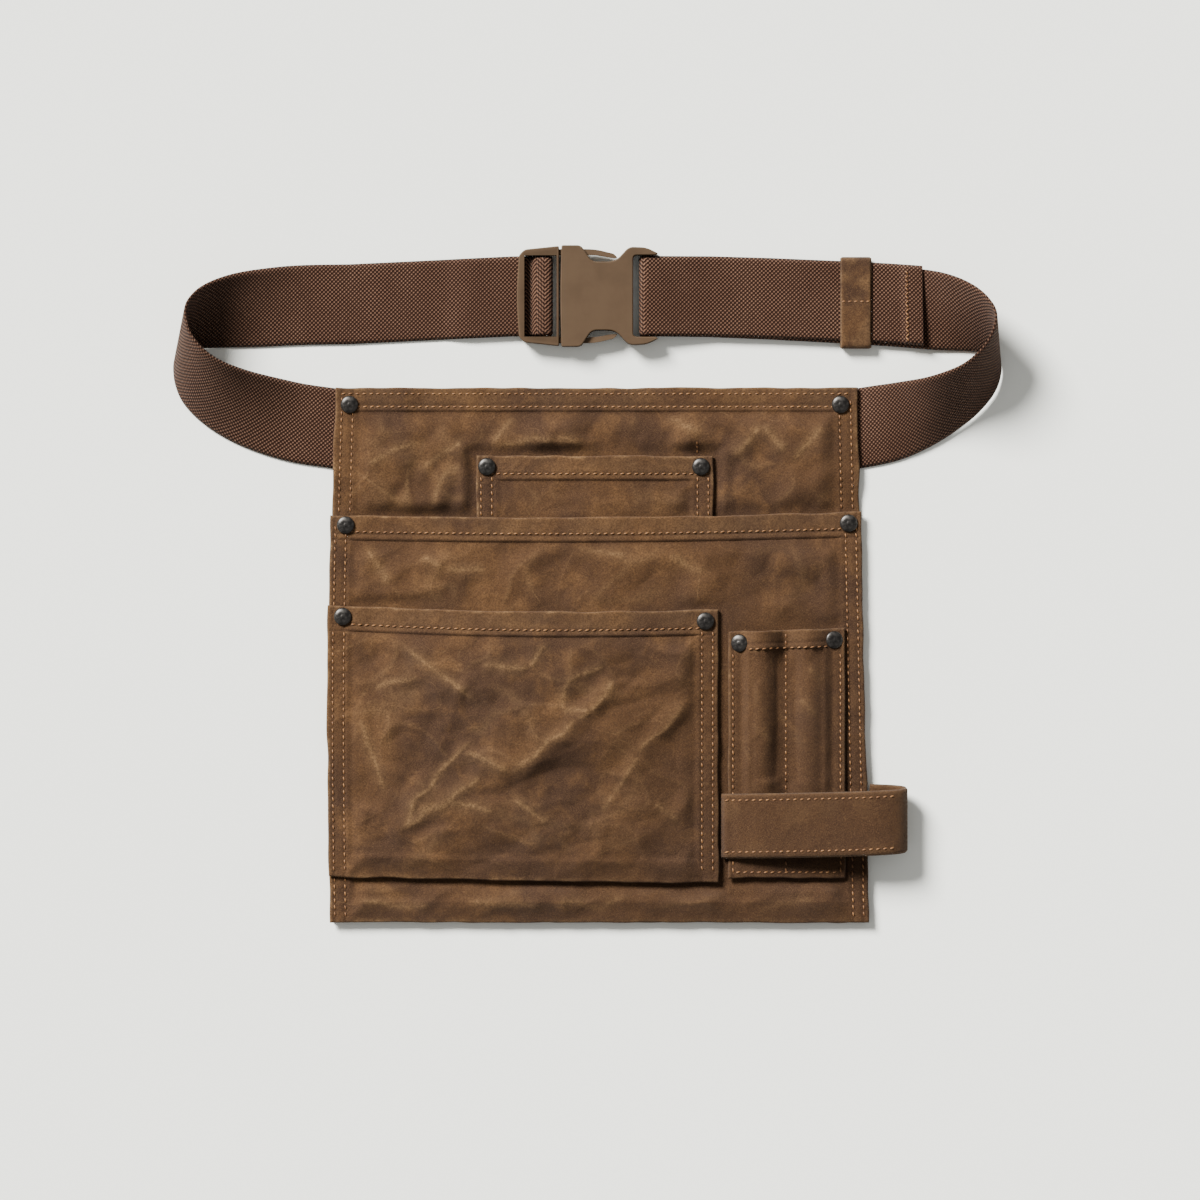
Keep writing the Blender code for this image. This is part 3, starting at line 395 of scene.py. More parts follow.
class Waves:
    """A smooth random field from a few plane waves, about -1 to 1, the same in each run."""

    def __init__(self, seed, size, count=14):
        rng = np.random.default_rng(seed)
        turn = rng.uniform(0, 2 * math.pi, count)
        pitch = 2 * math.pi / (size * rng.uniform(0.6, 1.7, count))
        self.kx = pitch * np.cos(turn)
        self.ky = pitch * np.sin(turn)
        self.phase = rng.uniform(0, 2 * math.pi, count)
        self.scale = 1 / math.sqrt(count / 2) / 1.6

    def __call__(self, x, y):
        total = 0
        for kx, ky, phase in zip(self.kx, self.ky, self.phase):
            total = total + np.sin(kx * x + ky * y + phase)
        return total * self.scale


def apron_side(side, y):
    """x of the apron's left (-1) or right (1) edge. The left one bows outwards."""
    up = share_of(y, -APRON_HEIGHT / 2, APRON_HEIGHT / 2)
    half = mix(APRON_BOTTOM_WIDTH, APRON_TOP_WIDTH, up) / 2
    bow = APRON_BOW * np.sin(math.pi * up) if side < 0 else 0
    return side * (half + bow) + APRON_SKEW * (0.5 - up)


def strap_lift(x, y):
    """How far the back panel is lifted by the belt's ends sewn behind its top corners."""
    inside = np.minimum(x - apron_side(-1, y), apron_side(1, y) - x)
    low_edge = BELT_Y - BELT_WIDTH / 2 - STUB * math.tan(BELT_SLOPE) - GAP
    over = 1 - smooth((inside - STUB - 2 * HEM_STEP) / STUB_FALL)
    return LAYER_STEP * over * (1 - smooth((low_edge - y) / STUB_FALL))


def beside_line(x, y, start, end):
    """Distance from a straight line between two points, and the share of the way along it."""
    run = (end[0] - start[0], end[1] - start[1])
    along = np.clip(((x - start[0]) * run[0] + (y - start[1]) * run[1]) / (run[0] ** 2 + run[1] ** 2), 0, 1)
    return np.hypot(x - start[0] - run[0] * along, y - start[1] - run[1] * along), along


class Panel:
    """A layer of canvas sewn to the panel below it along its sides and bottom, and open along its top."""

    def __init__(self, name, below, left, right, top, foot, band, **more):
        self.name = name
        self.below = below
        self.left = left
        self.right = right
        self.top_left = top
        self.foot_left = foot
        self.band = band
        self.tilt = more.get("tilt", 0)
        self.sag = more.get("sag", 0)
        self.foot_tilt = more.get("foot_tilt", 0)
        self.depth = more.get("depth", 0)
        self.seam = more.get("seam", SEAM)
        self.folds = more.get("folds", [])
        self.creases = more.get("creases", [])
        self.covers = []
        self.side_marks = more.get("side_marks", (0.0044, 0.0114))
        self.crumple = more.get("crumple", 1.25)
        self.lip = more.get("lip", 1.5)
        seed = more.get("seed", 1)
        self.soft = Waves(seed, 0.055)
        self.crests = [Waves(seed + 10, 0.095), Waves(seed + 20, 0.046)]
        self.troughs = [Waves(seed + 30, 0.070), Waves(seed + 60, 0.030)]
        self.edge_wave = Waves(seed + 40, 0.040)
        self.patch = Waves(seed + 50, 0.060)

    def across(self, x, y):
        return share_of(x, self.left(y), self.right(y))

    def top(self, x):
        across = self.across(x, self.top_left)
        return self.top_left + self.tilt * across - self.sag * np.sin(math.pi * across)

    def foot(self, x):
        return self.foot_left + self.foot_tilt * np.sin(math.pi / 2 * self.across(x, self.foot_left))

    def place(self, across, up):
        """The point at these shares of the panel's width and height."""
        x = mix(self.left(self.foot_left), self.right(self.foot_left), across)
        for _ in range(3):
            y = mix(self.foot(x), self.top(x), up)
            x = mix(self.left(y), self.right(y), across)
        return x, y

    def sides(self, x, y):
        """Distances inwards from the side edges, from the top edge and from the foot."""
        return np.minimum(x - self.left(y), self.right(y) - x), self.top(x) - y, y - self.foot(x)

    def hem(self, x, y, fall):
        """1 on the doubled cloth of the hems, and 0 further than the fall from them."""
        side, top, foot = self.sides(x, y)
        inwards = (side - SIDE_HEM) / max(fall, SIDE_FALL)
        down = (top - self.band) / fall
        return 1 - smooth(np.minimum(np.minimum(inwards, down), (foot - BOTTOM_HEM) / (4 * fall)))

    def thickness(self, x, y, fall=HEM_STEP):
        return mix(CANVAS, HEM, self.hem(x, y, fall))

    def rise(self, x, y):
        up = share_of(y, self.foot(x) + self.seam, self.top(x))
        return np.sin(math.pi / 2 * np.minimum(1, up / 0.65)) * (1 - 0.12 * smooth((up - 0.7) / 0.3))

    def belly(self, x, y):
        across = share_of(x, self.left(y) + self.seam, self.right(y) - self.seam)
        return self.depth * np.sin(math.pi * across) * self.rise(x, y)

    def fold(self, x, y):
        height = 0
        for fold in self.folds:
            start = self.place(fold.across_a, fold.up_a)
            end = self.place(fold.across_b, fold.up_b)
            away, _ = beside_line(x, y, start, end)
            height = np.maximum(height, fold.height * (1 - smooth(away / (fold.spread * FOLD_SPREAD))))
        return FOLD_HEIGHT * height

    def underside(self, x, y):
        if self.below is None:
            return strap_lift(x, y) + self.fold(x, y)
        rest = self.below.underside(x, y) + self.below.thickness(x, y, COVER_FALL) + NEST
        return rest + self.belly(x, y) + self.fold(x, y)

    def open_share(self, x, y):
        """1 where the panel is bare and free to crumple, and 0 at its seams and under other panels."""
        side, top, foot = self.sides(x, y)
        inside = np.minimum(np.minimum(side - SIDE_HEM, top - self.band), foot - 0.2 * BOTTOM_HEM)
        free = smooth((inside + 2 * MM) / (15 * MM))
        for cover in self.covers:
            free = free * cover(x, y)
        return free

    def clear_of(self, x, y, margin=0.009):
        """1 outside the panel, falling to 0 at its edge."""
        beyond_x = np.maximum(self.left(y) - x, x - self.right(y))
        beyond_y = np.maximum(self.foot(x) - y, y - self.top(x))
        return smooth(np.maximum(beyond_x, beyond_y) / margin - 0.1)

    def creasing(self, x, y):
        """Height of the sharp creases, in metres, and how worn the wax is along them, from 0 to 1."""
        height = np.zeros_like(x)
        worn = np.zeros_like(x)
        wander = 1.8 * MM * self.troughs[1](x, y)
        for crease in self.creases:
            start = self.place(crease.across_a, crease.up_a)
            end = self.place(crease.across_b, crease.up_b)
            away, along = beside_line(x + wander, y - wander, start, end)
            ends = smooth(along * 5 + 0.25) * smooth((1 - along) * 5 + 0.25)
            near = np.clip(1 - away / (1.5 * crease.width * MM), 0, 1)
            height = height + 1.2 * MM * crease.height * near**1.4 * ends
            if crease.height > 0:
                line = 0.55 * np.exp(-((away / (1.25 * MM)) ** 2))
                haze = 0.36 * np.exp(-((away / (4.5 * MM)) ** 2))
                worn = np.maximum(worn, (line + haze) * ends)
        return height, worn

    def detail(self, x, y):
        """Height of the small forms over the plain panel, and the worn share of its wax."""
        free = self.open_share(x, y)
        crease, worn = self.creasing(x, y)
        height = 0.5 * MM * (1 + self.soft(x, y))
        patchy = smooth(self.patch(x, y) * 1.4 + 0.5)
        for wave, size in zip(self.crests, (2.1, 1.0)):
            beside = np.sqrt(wave(x, y) ** 2 + 0.0009)
            height = height + self.crumple * size * MM * np.clip(1 - beside, 0, 1)
            worn = np.maximum(worn, 0.30 * patchy * np.exp(-((beside / 0.16) ** 2)))
        for wave, size in zip(self.troughs, (1.5, 0.45)):
            beside = np.sqrt(wave(x, y) ** 2 + 0.0009)
            height = height + self.crumple * size * MM * np.clip(beside, 0, 1)
        puckers = 0.16 * MM * (1 + self.edge_wave(x * 3, y * 3))
        sink = 0 if self.below is None else np.minimum(2.4 * MM, 0.75 * self.belly(x, y))
        height = np.maximum(0, height + crease) - sink
        band = smooth((self.band - self.sides(x, y)[1]) / (2 * MM))
        rubbed = 0.22 * band * np.clip(0.8 + 0.5 * self.soft(x * 1.7, y * 1.7), 0, 1)
        return free * height + (1 - free) * puckers, np.maximum(free * worn, rubbed)

    def surface(self, x, y):
        return self.underside(x, y) + self.thickness(x, y) + self.detail(x, y)[0]


class PencilPanel(Panel):
    """The pencil pocket, which bulges in a tube on either side of its middle seam."""

    def belly(self, x, y):
        middle = self.left(y) + PENCIL_MIDDLE
        half = PENCIL_MIDDLE_SEAM / 2
        seam = 0.6 * self.seam
        first = np.sin(math.pi * share_of(x, self.left(y) + seam, middle - half))
        second = np.sin(math.pi * share_of(x, middle + half, self.right(y) - seam))
        bulge = np.clip(np.maximum(first, second), 0, 1)
        return self.depth * bulge**1.25 * self.rise(x, y)


def apron_panels():
    """The five canvas panels by name, from the back one up."""
    waist = APRON_HEIGHT / 2
    back = Panel(
        "back_panel",
        None,
        lambda y: apron_side(-1, y),
        lambda y: apron_side(1, y),
        waist,
        -waist,
        APRON_TOP_HEM,
        folds=BACK_FOLDS,
        creases=BACK_CREASES,
        lip=0.2,
        seed=3,
    )
    wide = Panel(
        "wide_pocket",
        back,
        lambda y: apron_side(-1, y) - OVERHANG,
        lambda y: apron_side(1, y) + OVERHANG,
        waist - WIDE_DROP,
        -waist,
        WIDE_BAND,
        tilt=WIDE_TILT,
        sag=WIDE_SAG,
        depth=WIDE_DEPTH,
        folds=WIDE_FOLDS,
        creases=WIDE_CREASES,
        side_marks=(0.0032, 0.0098),
        seed=7,
    )
    upper_top = waist - UPPER_DROP
    upper = Panel(
        "upper_pocket",
        back,
        lambda y: UPPER_OFFSET - UPPER_WIDTH / 2 + 0 * y,
        lambda y: UPPER_OFFSET + UPPER_WIDTH / 2 + 0 * y,
        upper_top,
        upper_top - UPPER_HEIGHT,
        UPPER_BAND,
        depth=UPPER_DEPTH,
        side_marks=(0.0030, 0.0098),
        crumple=0.8,
        lip=0.5,
        seed=13,
    )
    large_top = waist - LARGE_DROP
    large_right = apron_side(-1, 0) + LARGE_WIDTH
    large = Panel(
        "large_pocket",
        wide,
        lambda y: apron_side(-1, y) - 2 * OVERHANG,
        lambda y: large_right + 0 * y,
        large_top,
        large_top - LARGE_HEIGHT,
        LARGE_BAND,
        tilt=LARGE_TILT,
        sag=LARGE_SAG,
        foot_tilt=LARGE_FOOT_TILT,
        depth=LARGE_DEPTH,
        folds=LARGE_FOLDS,
        creases=LARGE_CREASES,
        side_marks=(0.0036, 0.0104),
        seed=17,
    )
    pencil_top = waist - PENCIL_DROP
    pencil_left = large_right + PENCIL_SPACE
    pencil = PencilPanel(
        "pencil_pocket",
        wide,
        lambda y: pencil_left + 0 * y,
        lambda y: pencil_left + PENCIL_WIDTH + 0 * y,
        pencil_top,
        pencil_top - PENCIL_HEIGHT,
        PENCIL_BAND,
        tilt=PENCIL_TILT,
        depth=TUBE_DEPTH,
        seam=PENCIL_SEAM,
        creases=PENCIL_CREASES,
        side_marks=(0.0030,),
        crumple=0.36,
        lip=0.4,
        seed=23,
    )
    back.covers = [lambda x, y: smooth((y - wide.top(x)) / 0.010), upper.clear_of]
    wide.covers = [large.clear_of, pencil.clear_of]
    upper.covers = [lambda x, y: smooth((y - wide.top(x)) / 0.010)]
    loop_low = waist - LOOP_DROP - LOOP_WIDTH / 2
    loop_high = loop_low + LOOP_WIDTH + LOOP_SLANT
    pencil.covers = [lambda x, y: smooth(np.maximum(loop_low - y, y - loop_high) / 0.005)]
    return {panel.name: panel for panel in (back, wide, upper, large, pencil)}


def finish_mesh(name, points, faces, finish, attributes=None, uvs=None, triangles=()):
    """A smooth mesh of four-sided faces and, if given, a few triangles."""
    mesh = bpy.data.meshes.new(name)
    mesh.vertices.add(len(points))
    mesh.vertices.foreach_set("co", np.asarray(points, np.float32).ravel())
    faces = np.asarray(faces, np.int32).reshape(-1, 4)
    triangles = np.asarray(triangles, np.int32).reshape(-1, 3)
    corners = np.concatenate([faces.ravel(), triangles.ravel()])
    starts = np.arange(len(faces)) * 4
    starts = np.concatenate([starts, faces.size + np.arange(len(triangles)) * 3]).astype(np.int32)
    mesh.loops.add(len(corners))
    mesh.loops.foreach_set("vertex_index", corners)
    mesh.polygons.add(len(starts))
    mesh.polygons.foreach_set("loop_start", starts)
    mesh.update(calc_edges=True)
    mesh.validate()
    for key, values in (attributes or {}).items():
        layer = mesh.attributes.new(key, "FLOAT", "POINT")
        layer.data.foreach_set("value", np.asarray(values, np.float32).ravel())
    if uvs is not None:
        layer = mesh.uv_layers.new(name="cloth")
        flat = np.asarray(uvs, np.float32)[corners]
        layer.data.foreach_set("uv", flat.ravel())
    mesh.shade_smooth()
    mesh.materials.append(finish)
    made = bpy.data.objects.new(name, mesh)
    bpy.context.scene.collection.objects.link(made)
    return made


def dress(made, node=None):
    """The piece rides on the one body, and takes the place of its CAD node."""
    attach(made, "root")
    if node:
        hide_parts(node)
    return made


def at_lengths(places, total, table):
    """Rows of a table at these lengths along a path, whose own lengths so far are the totals."""
    return np.stack([np.interp(places, total, column) for column in table.T], -1)


def strap_section(width, steps, rim):
    """A closed section with rounded rims, in shares of half a strap's width and half its thickness."""
    shares = np.linspace(-1, 1, steps)
    flat = np.clip(1 - (1 - np.abs(shares)) * width / 2 / rim, 0, 1)
    swell = np.sqrt(np.clip(1 - flat**2, 0, 1))
    return np.concatenate([shares, shares[-2:0:-1]]), np.concatenate([swell, -swell[-2:0:-1]])


def cloth_lines(length, marks, spacing):
    """Places of the grid's lines along a length: even, and closer at edges, hems and seams."""
    rim = [0, 0.00012, 0.00045, 0.0009, 0.0015]
    fixed = {*rim, *[length - r for r in rim]}
    for mark in marks:
        fixed |= {mark - SEAM_SIDE, mark, mark + SEAM_SIDE}
    for step in (0, HEM_STEP / 2, HEM_STEP):
        fixed |= {SIDE_HEM + step, length - SIDE_HEM - step}
    fixed = sorted(f for f in fixed if 0 <= f <= length)
    lines = [0.0]
    for low, high in zip(fixed, fixed[1:]):
        parts = max(1, round((high - low) / spacing))
        lines += [mix(low, high, (part + 1) / parts) for part in range(parts)]
    return np.array(lines) / length


def sewn_cloth(panel, spacing, finish):
    """The panel as closed cloth with rounded rims, crumpled where it is bare."""
    width = float(panel.right(0.0) - panel.left(0.0))
    height = float(panel.top_left - panel.foot_left)
    side_marks = [m for mark in panel.side_marks for m in (mark, width - mark)]
    across_lines = cloth_lines(width, side_marks, spacing)
    row = panel.band - BAND_ROW
    marks = [height - row, height - panel.band, height - panel.band - LIP_DROP, height - 0.004]
    up_lines = cloth_lines(height, marks, spacing)
    across, up = np.meshgrid(across_lines, up_lines, indexing="ij")
    x, y = panel.place(across, up)
    side, top, foot = panel.sides(x, y)
    edge = np.minimum(np.minimum(side, top), foot)
    low = panel.underside(x, y)
    thick = panel.thickness(x, y)
    raised, worn = panel.detail(x, y)
    groove = seam_groove(panel, side, top)
    inwards = 1 - np.clip(edge / CLOTH_RIM, 0, 1)
    curve = np.sqrt(np.clip(1 - inwards**2, 0, 1))
    middle = low + thick / 2
    high = middle + thick / 2 * curve + raised - groove * curve
    base = middle - thick / 2 * curve + raised * panel.open_share(x, y)
    wave = 0.35 * MM * panel.edge_wave(x * 1.3, y * 1.3) * np.exp(-edge / 0.006)
    x = x + wave
    y = y + wave
    edge_worn = np.exp(-np.abs(edge - 0.0007) / 0.0009) * (0.55 + 0.45 * panel.edge_wave(x * 4, y * 4))
    n_across, n_up = across.shape
    index = np.arange(n_across * n_up).reshape(n_across, n_up)
    top_points = np.stack([x, y, high], -1).reshape(-1, 3)
    base_points = np.stack([x, y, base], -1).reshape(-1, 3)
    border = np.zeros((n_across, n_up), bool)
    border[0] = border[-1] = True
    border[:, 0] = border[:, -1] = True
    base_index = index + n_across * n_up
    base_index[border] = index[border]
    quads = []
    for table, flip in ((index, False), (base_index, True)):
        a, b = table[:-1, :-1], table[1:, :-1]
        c, d = table[1:, 1:], table[:-1, 1:]
        order = (a, d, c, b) if flip else (a, b, c, d)
        quads.append(np.stack(order, -1).reshape(-1, 4))
    faces = np.concatenate(quads)
    points = np.concatenate([top_points, base_points])
    used = np.zeros(len(points), bool)
    used[faces.ravel()] = True
    renumber = np.cumsum(used) - 1
    both = lambda values: np.concatenate([np.broadcast_to(values, across.shape).ravel()] * 2)[used]
    uvs = np.stack([both(x), both(y)], -1)
    attributes = {
        "worn": both(np.clip(worn, 0, 1)),
        "edge_worn": both(np.clip(edge_worn, 0, 1)),
        "crest": both(panel.crests[0](x, y)),
        "small_crest": both(panel.crests[1](x, y)),
        "bare": both(panel.open_share(x, y)),
        # The groove's depth also sets the painted shade in the seam grooves and under the bands.
        "seam": both(np.clip(groove / FULL_GROOVE, 0, 1)),
    }
    made = finish_mesh(panel.name + "_cloth", points[used], renumber[faces], finish, attributes, uvs)
    return dress(made, panel.name)


def seam_groove(panel, side, top):
    """Depth of the cloth pulled in along the stitch rows."""
    depth = 0
    for mark in panel.side_marks:
        depth = np.maximum(depth, np.exp(-(((side - mark) / SEAM_PULL) ** 2)))
    row = np.exp(-(((top - (panel.band - BAND_ROW)) / SEAM_PULL) ** 2)) * (side > 0.002)
    lip = panel.lip * np.exp(-(((top - panel.band - LIP_DROP) / LIP_WIDTH) ** 2)) * (side > 0.001)
    return GROOVE * np.maximum(np.maximum(depth, row), lip)


class Thread:
    """All the stitches of one thread, gathered as small rounded lozenges."""

    RINGS = 5
    SIDES = 6

    def __init__(self, name, slot_name):
        self.name = name
        self.slot_name = slot_name
        self.points = []
        self.faces = []
        self.rng = np.random.default_rng(5)

    def stitch(self, centre, along, normal, length, radius):
        centre = np.array(centre, float)
        along = np.array(along, float)
        along /= np.linalg.norm(along)
        normal = np.array(normal, float)
        across = np.cross(normal, along)
        across /= np.linalg.norm(across)
        normal = np.cross(along, across)
        base = len(self.points)
        for ring in range(self.RINGS):
            share = ring / (self.RINGS - 1)
            reach = (share - 0.5) * length
            swell = math.sqrt(max(0.02, 1 - (2 * share - 1) ** 2 * 0.97))
            sink = -radius * 1.3 * (2 * share - 1) ** 2
            for side in range(self.SIDES):
                angle = 2 * math.pi * side / self.SIDES
                offset = across * math.cos(angle) * radius * swell
                offset = offset + normal * math.sin(angle) * radius * 0.8 * swell
                self.points.append(centre + along * reach + normal * sink + offset)
        for ring in range(self.RINGS - 1):
            for side in range(self.SIDES):
                a = base + ring * self.SIDES + side
                b = base + ring * self.SIDES + (side + 1) % self.SIDES
                self.faces.append((a, b, b + self.SIDES, a + self.SIDES))
        first = base
        last = base + (self.RINGS - 1) * self.SIDES
        self.faces.append((first + 3, first + 2, first + 1, first))
        self.faces.append((first + 5, first + 4, first + 3, first))
        self.faces.append((last, last + 1, last + 2, last + 3))
        self.faces.append((last, last + 3, last + 4, last + 5))

    def row(self, path, height, pitch=PITCH):
        """Stitches along a path of x and y, lying on the surface that height gives."""
        path = np.array(path, float)
        steps = np.hypot(*np.diff(path, axis=0).T)
        total = np.concatenate([[0], np.cumsum(steps)])
        count = int(total[-1] / pitch)
        places = (np.arange(count) + 0.5) * pitch + self.rng.normal(0, 0.00012, count)
        x, y = at_lengths(places, total, path).T
        run_x, run_y = (at_lengths(places + MM, total, path) - at_lengths(places - MM, total, path)).T
        turn = np.arctan2(run_y, run_x) + np.radians(SLANT + self.rng.normal(0, 3, count))
        step = 0.0012
        here = height(x, y)
        slope_x = np.clip((height(x + step, y) - here) / step, -0.8, 0.8)
        slope_y = np.clip((height(x, y + step) - here) / step, -0.8, 0.8)
        for k in range(count):
            run = (math.cos(turn[k]), math.sin(turn[k]))
            along = (run[0], run[1], run[0] * slope_x[k] + run[1] * slope_y[k])
            normal = (-slope_x[k], -slope_y[k], 1)
            self.stitch((x[k], y[k], here[k] + LIFT), along, normal, STITCH, THREAD_RADIUS)

    def finish(self, finish):
        dress(finish_mesh(self.name, self.points, self.faces, finish))


def ribbon(node, fabric, stations, width, thickness, finish, spacing=0.0013, steps_across=26,
           chevron=()):
    """A closed strap through stations of a centre, the direction of its width and its layers of cloth."""
    centres = np.array([s[0] for s in stations], float)
    sides = np.array([s[1] for s in stations], float)
    thicks = np.array([s[2] if len(s) > 2 else 1.0 for s in stations], float)
    steps = np.linalg.norm(np.diff(centres, axis=0), axis=1)
    keep = np.concatenate([[True], steps > 1e-6])
    centres, sides, thicks = centres[keep], sides[keep], thicks[keep]
    steps = np.linalg.norm(np.diff(centres, axis=0), axis=1)
    total = np.concatenate([[0], np.cumsum(steps)])
    count = int(total[-1] / spacing) + 1
    places = np.linspace(0, total[-1], count)
    centres = at_lengths(places, total, centres)
    sides = at_lengths(places, total, sides)
    thicks = np.interp(places, total, thicks)
    kernel = np.ones(3) / 3
    for _ in range(2):
        padded = np.concatenate([centres[:1], centres, centres[-1:]])
        centres = np.stack([np.convolve(padded[:, k], kernel, "valid") for k in range(3)], -1)
    sides /= np.linalg.norm(sides, axis=1)[:, None]
    along = np.gradient(centres, axis=0)
    along /= np.linalg.norm(along, axis=1)[:, None]
    normal = np.cross(along, sides)
    normal /= np.linalg.norm(normal, axis=1)[:, None]
    ring_across, ring_high = strap_section(width, steps_across, STRAP_RIM)
    ring = len(ring_across)
    half = thickness / 2 * thicks
    points = (
        centres[:, None, :]
        + sides[:, None, :] * (ring_across * width / 2)[None, :, None]
        + normal[:, None, :] * (ring_high[None, :] * half[:, None])[:, :, None]
    )
    index = np.arange(count * ring).reshape(count, ring)
    nxt = np.roll(index, -1, axis=1)
    quads = np.stack([index[:-1], index[1:], nxt[1:], nxt[:-1]], -1).reshape(-1, 4)
    first, last = index[0], index[-1]
    ends = []
    for k in range(1, steps_across - 2):
        ends.append((first[k], first[k + 1], first[ring - k - 1], first[ring - k]))
        ends.append((last[ring - k], last[ring - k - 1], last[k + 1], last[k]))
    tips = []
    tip = steps_across - 1
    for a, b, c in ((0, 1, ring - 1), (tip - 1, tip, tip + 1)):
        tips.append((first[a], first[b], first[c]))
        tips.append((last[c], last[b], last[a]))
    faces = np.concatenate([quads, np.array(ends)])
    u = np.repeat(places, ring)
    v = np.tile(ring_across * width / 2, count)
    plain = np.zeros(count)
    for low, high in chevron:
        plain = np.maximum(plain, ((places >= low) & (places <= high)).astype(float))
    rubbed = 0.30 * smooth(Waves(71, 0.026)(u, v) * 1.3 - 0.1)
    edge_worn = np.tile(np.abs(ring_across) ** 16, count)
    attributes = {"chevron": np.repeat(plain, ring), "edge_worn": edge_worn, "worn": rubbed}
    uvs = np.stack([u, v], -1)
    made = finish_mesh(f"{node}_{fabric}", points.reshape(-1, 3), faces, finish, attributes, uvs, tips)
    return dress(made, node), float(total[-1])


def belt_end(side):
    x = float(apron_side(side, BELT_Y))
    return np.array((x, BELT_Y, 0.0)), np.array((side * math.cos(BELT_SLOPE), math.sin(BELT_SLOPE), 0.0))


def turn_stations(side, rows, reach):
    """Stations of the belt from its sewn end round one side of the waist to the upper band."""
    start, out = belt_end(side)
    low = WEBBING / 2
    swing = math.radians(rows[0].swing)
    end_side = (-side * math.sin(swing), math.cos(swing), 0.0)
    stations = [(start - out * STUB * share + (0, 0, low), end_side) for share in (1.0, 0.5)]
    for across, up, swing, lean, lifted in spline(rows, 12):
        swing = math.radians(swing)
        lean = math.radians(lean)
        width = (-side * math.sin(swing) * math.cos(lean), math.cos(swing) * math.cos(lean), math.sin(lean))
        height = low + lifted * KEEPER_LIFT + BELT_WIDTH / 2 * math.sin(lean)
        centre = np.array((start[0] + side * reach * across, start[1] + BELT_RISE * up, height))
        stations.append((centre, width))
    return stations


def wrap(centre, bar_width, first, last, steps):
    """Points of a strap's middle round a bar, by angle in degrees, in the plane of x and z."""
    wide = bar_width / 2 + WRAP_CLEARANCE + WEBBING / 2
    high = BAR_THICKNESS / 2 + WRAP_CLEARANCE + WEBBING / 2
    points = []
    for step in range(steps + 1):
        angle = math.radians(mix(first, last, step / steps))
        x = math.copysign(abs(math.cos(angle)) ** 0.8, math.cos(angle))
        z = math.copysign(abs(math.sin(angle)) ** 0.8, math.sin(angle))
        points.append(np.array(centre) + (wide * x, 0, high * z))
    return points


def buckle_point(x):
    return np.array((x, BUCKLE_RISE, BUCKLE_THICKNESS / 2))


MALE_LEFT = FEMALE_LEFT - MALE_GAP - MALE_LENGTH
STRAIGHT = (0.0, 1.0, 0.0)


def length_of(stations):
    centres = np.array([s[0] for s in stations], float)
    return float(np.linalg.norm(np.diff(centres, axis=0), axis=1).sum())


def left_belt_stations():
    """The left strap: round the waist, under the outer bar, over the middle bar and back beneath itself."""
    stations = turn_stations(-1, LEFT_TURN, LEFT_REACH)
    bar = buckle_point(MALE_LEFT + MIDDLE_BAR_PLACE)
    low = WEBBING / 2 + GAP
    high = low + LAYER_STEP
    band = stations[-1][0]
    mouth = MALE_LEFT - WEBBING
    return_end = bar[0] - RETURN_LENGTH
    climb = RETURN_LENGTH * 0.35
    runs = [
        (return_end - climb, WEBBING / 2),
        (return_end - climb * 0.4, mix(WEBBING / 2, high, 0.75)),
        (return_end, high),
        (mouth, high),
        (MALE_LEFT + OUTER_BAR_WIDTH, high + GAP),
    ]
    for x, z in runs:
        y = mix(band[1], BUCKLE_RISE, float(share_of(x, band[0], mouth)))
        stations.append((np.array((x, y, z)), STRAIGHT))
    before = length_of(stations)
    stations += [(point, STRAIGHT) for point in wrap(bar, MIDDLE_BAR_WIDTH, 190, -100, 40)]
    after = length_of(stations)
    for x in (MALE_LEFT + OUTER_BAR_WIDTH, mouth, return_end):
        y = mix(band[1], BUCKLE_RISE, float(share_of(x, band[0], mouth)))
        stations.append((np.array((x, y, low)), STRAIGHT))
    return stations, [(before - 0.004, after)]


def right_belt_stations():
    """The right strap: round the waist, through the keeper, and round the bar into the tail."""
    lower = turn_stations(1, RIGHT_TURN, RIGHT_REACH)
    bar = buckle_point(FEMALE_LEFT + FEMALE_BAR_PLACE)
    band = lower[-1][0]
    settle = BELT_WIDTH * 0.8
    mouth = np.array((bar[0] + settle, BUCKLE_RISE, band[2]))
    for share in (0.3, 0.6):
        lower.append((band + (mouth - band) * share, STRAIGHT))
    for share in (1.0, 0.5, 0.2):
        x = bar[0] + settle * share
        lower.append((np.array((x, mix(BUCKLE_RISE, band[1], 0.1 * share), band[2])), STRAIGHT))
    arc = [(point, STRAIGHT) for point in wrap(bar, FEMALE_BAR_WIDTH, 260, 90, 30)]
    tail_end = bar[0] + TAIL_LENGTH
    upper_band = [station for station in reversed(lower) if station[0][1] > BELT_Y + BELT_RISE / 2]
    over = [s for s in upper_band if bar[0] + settle * 0.15 < s[0][0] < tail_end - TAIL_HEM]
    crest = arc[-1][0][2] - band[2] - LAYER_STEP
    tail = []
    for centre, width in over:
        along = (centre[0] - bar[0]) / TAIL_LENGTH
        normal = np.cross((1, 0, 0), width)
        normal = normal / np.linalg.norm(normal)
        step = LAYER_STEP + crest * (1 - float(smooth((centre[0] - bar[0]) / settle)))
        tail.append((centre + normal * step + np.array(width) * (TAIL_SHIFT * along), width, 1.0))
    last_centre, last_width, _ = tail[-1]
    normal = np.cross((1, 0, 0), last_width)
    normal = normal / np.linalg.norm(normal)
    rise = tail[-1][0] - tail[-2][0]
    rise = rise / np.linalg.norm(rise)
    for x in (tail_end - TAIL_HEM, tail_end):
        centre = last_centre + rise * ((x - last_centre[0]) / rise[0]) + normal * (WEBBING / 2)
        tail.append((centre, last_width, 2.0))
    before = length_of(lower)
    return lower, arc, tail, [(before - 0.004, before + length_of(arc) + 0.010)]


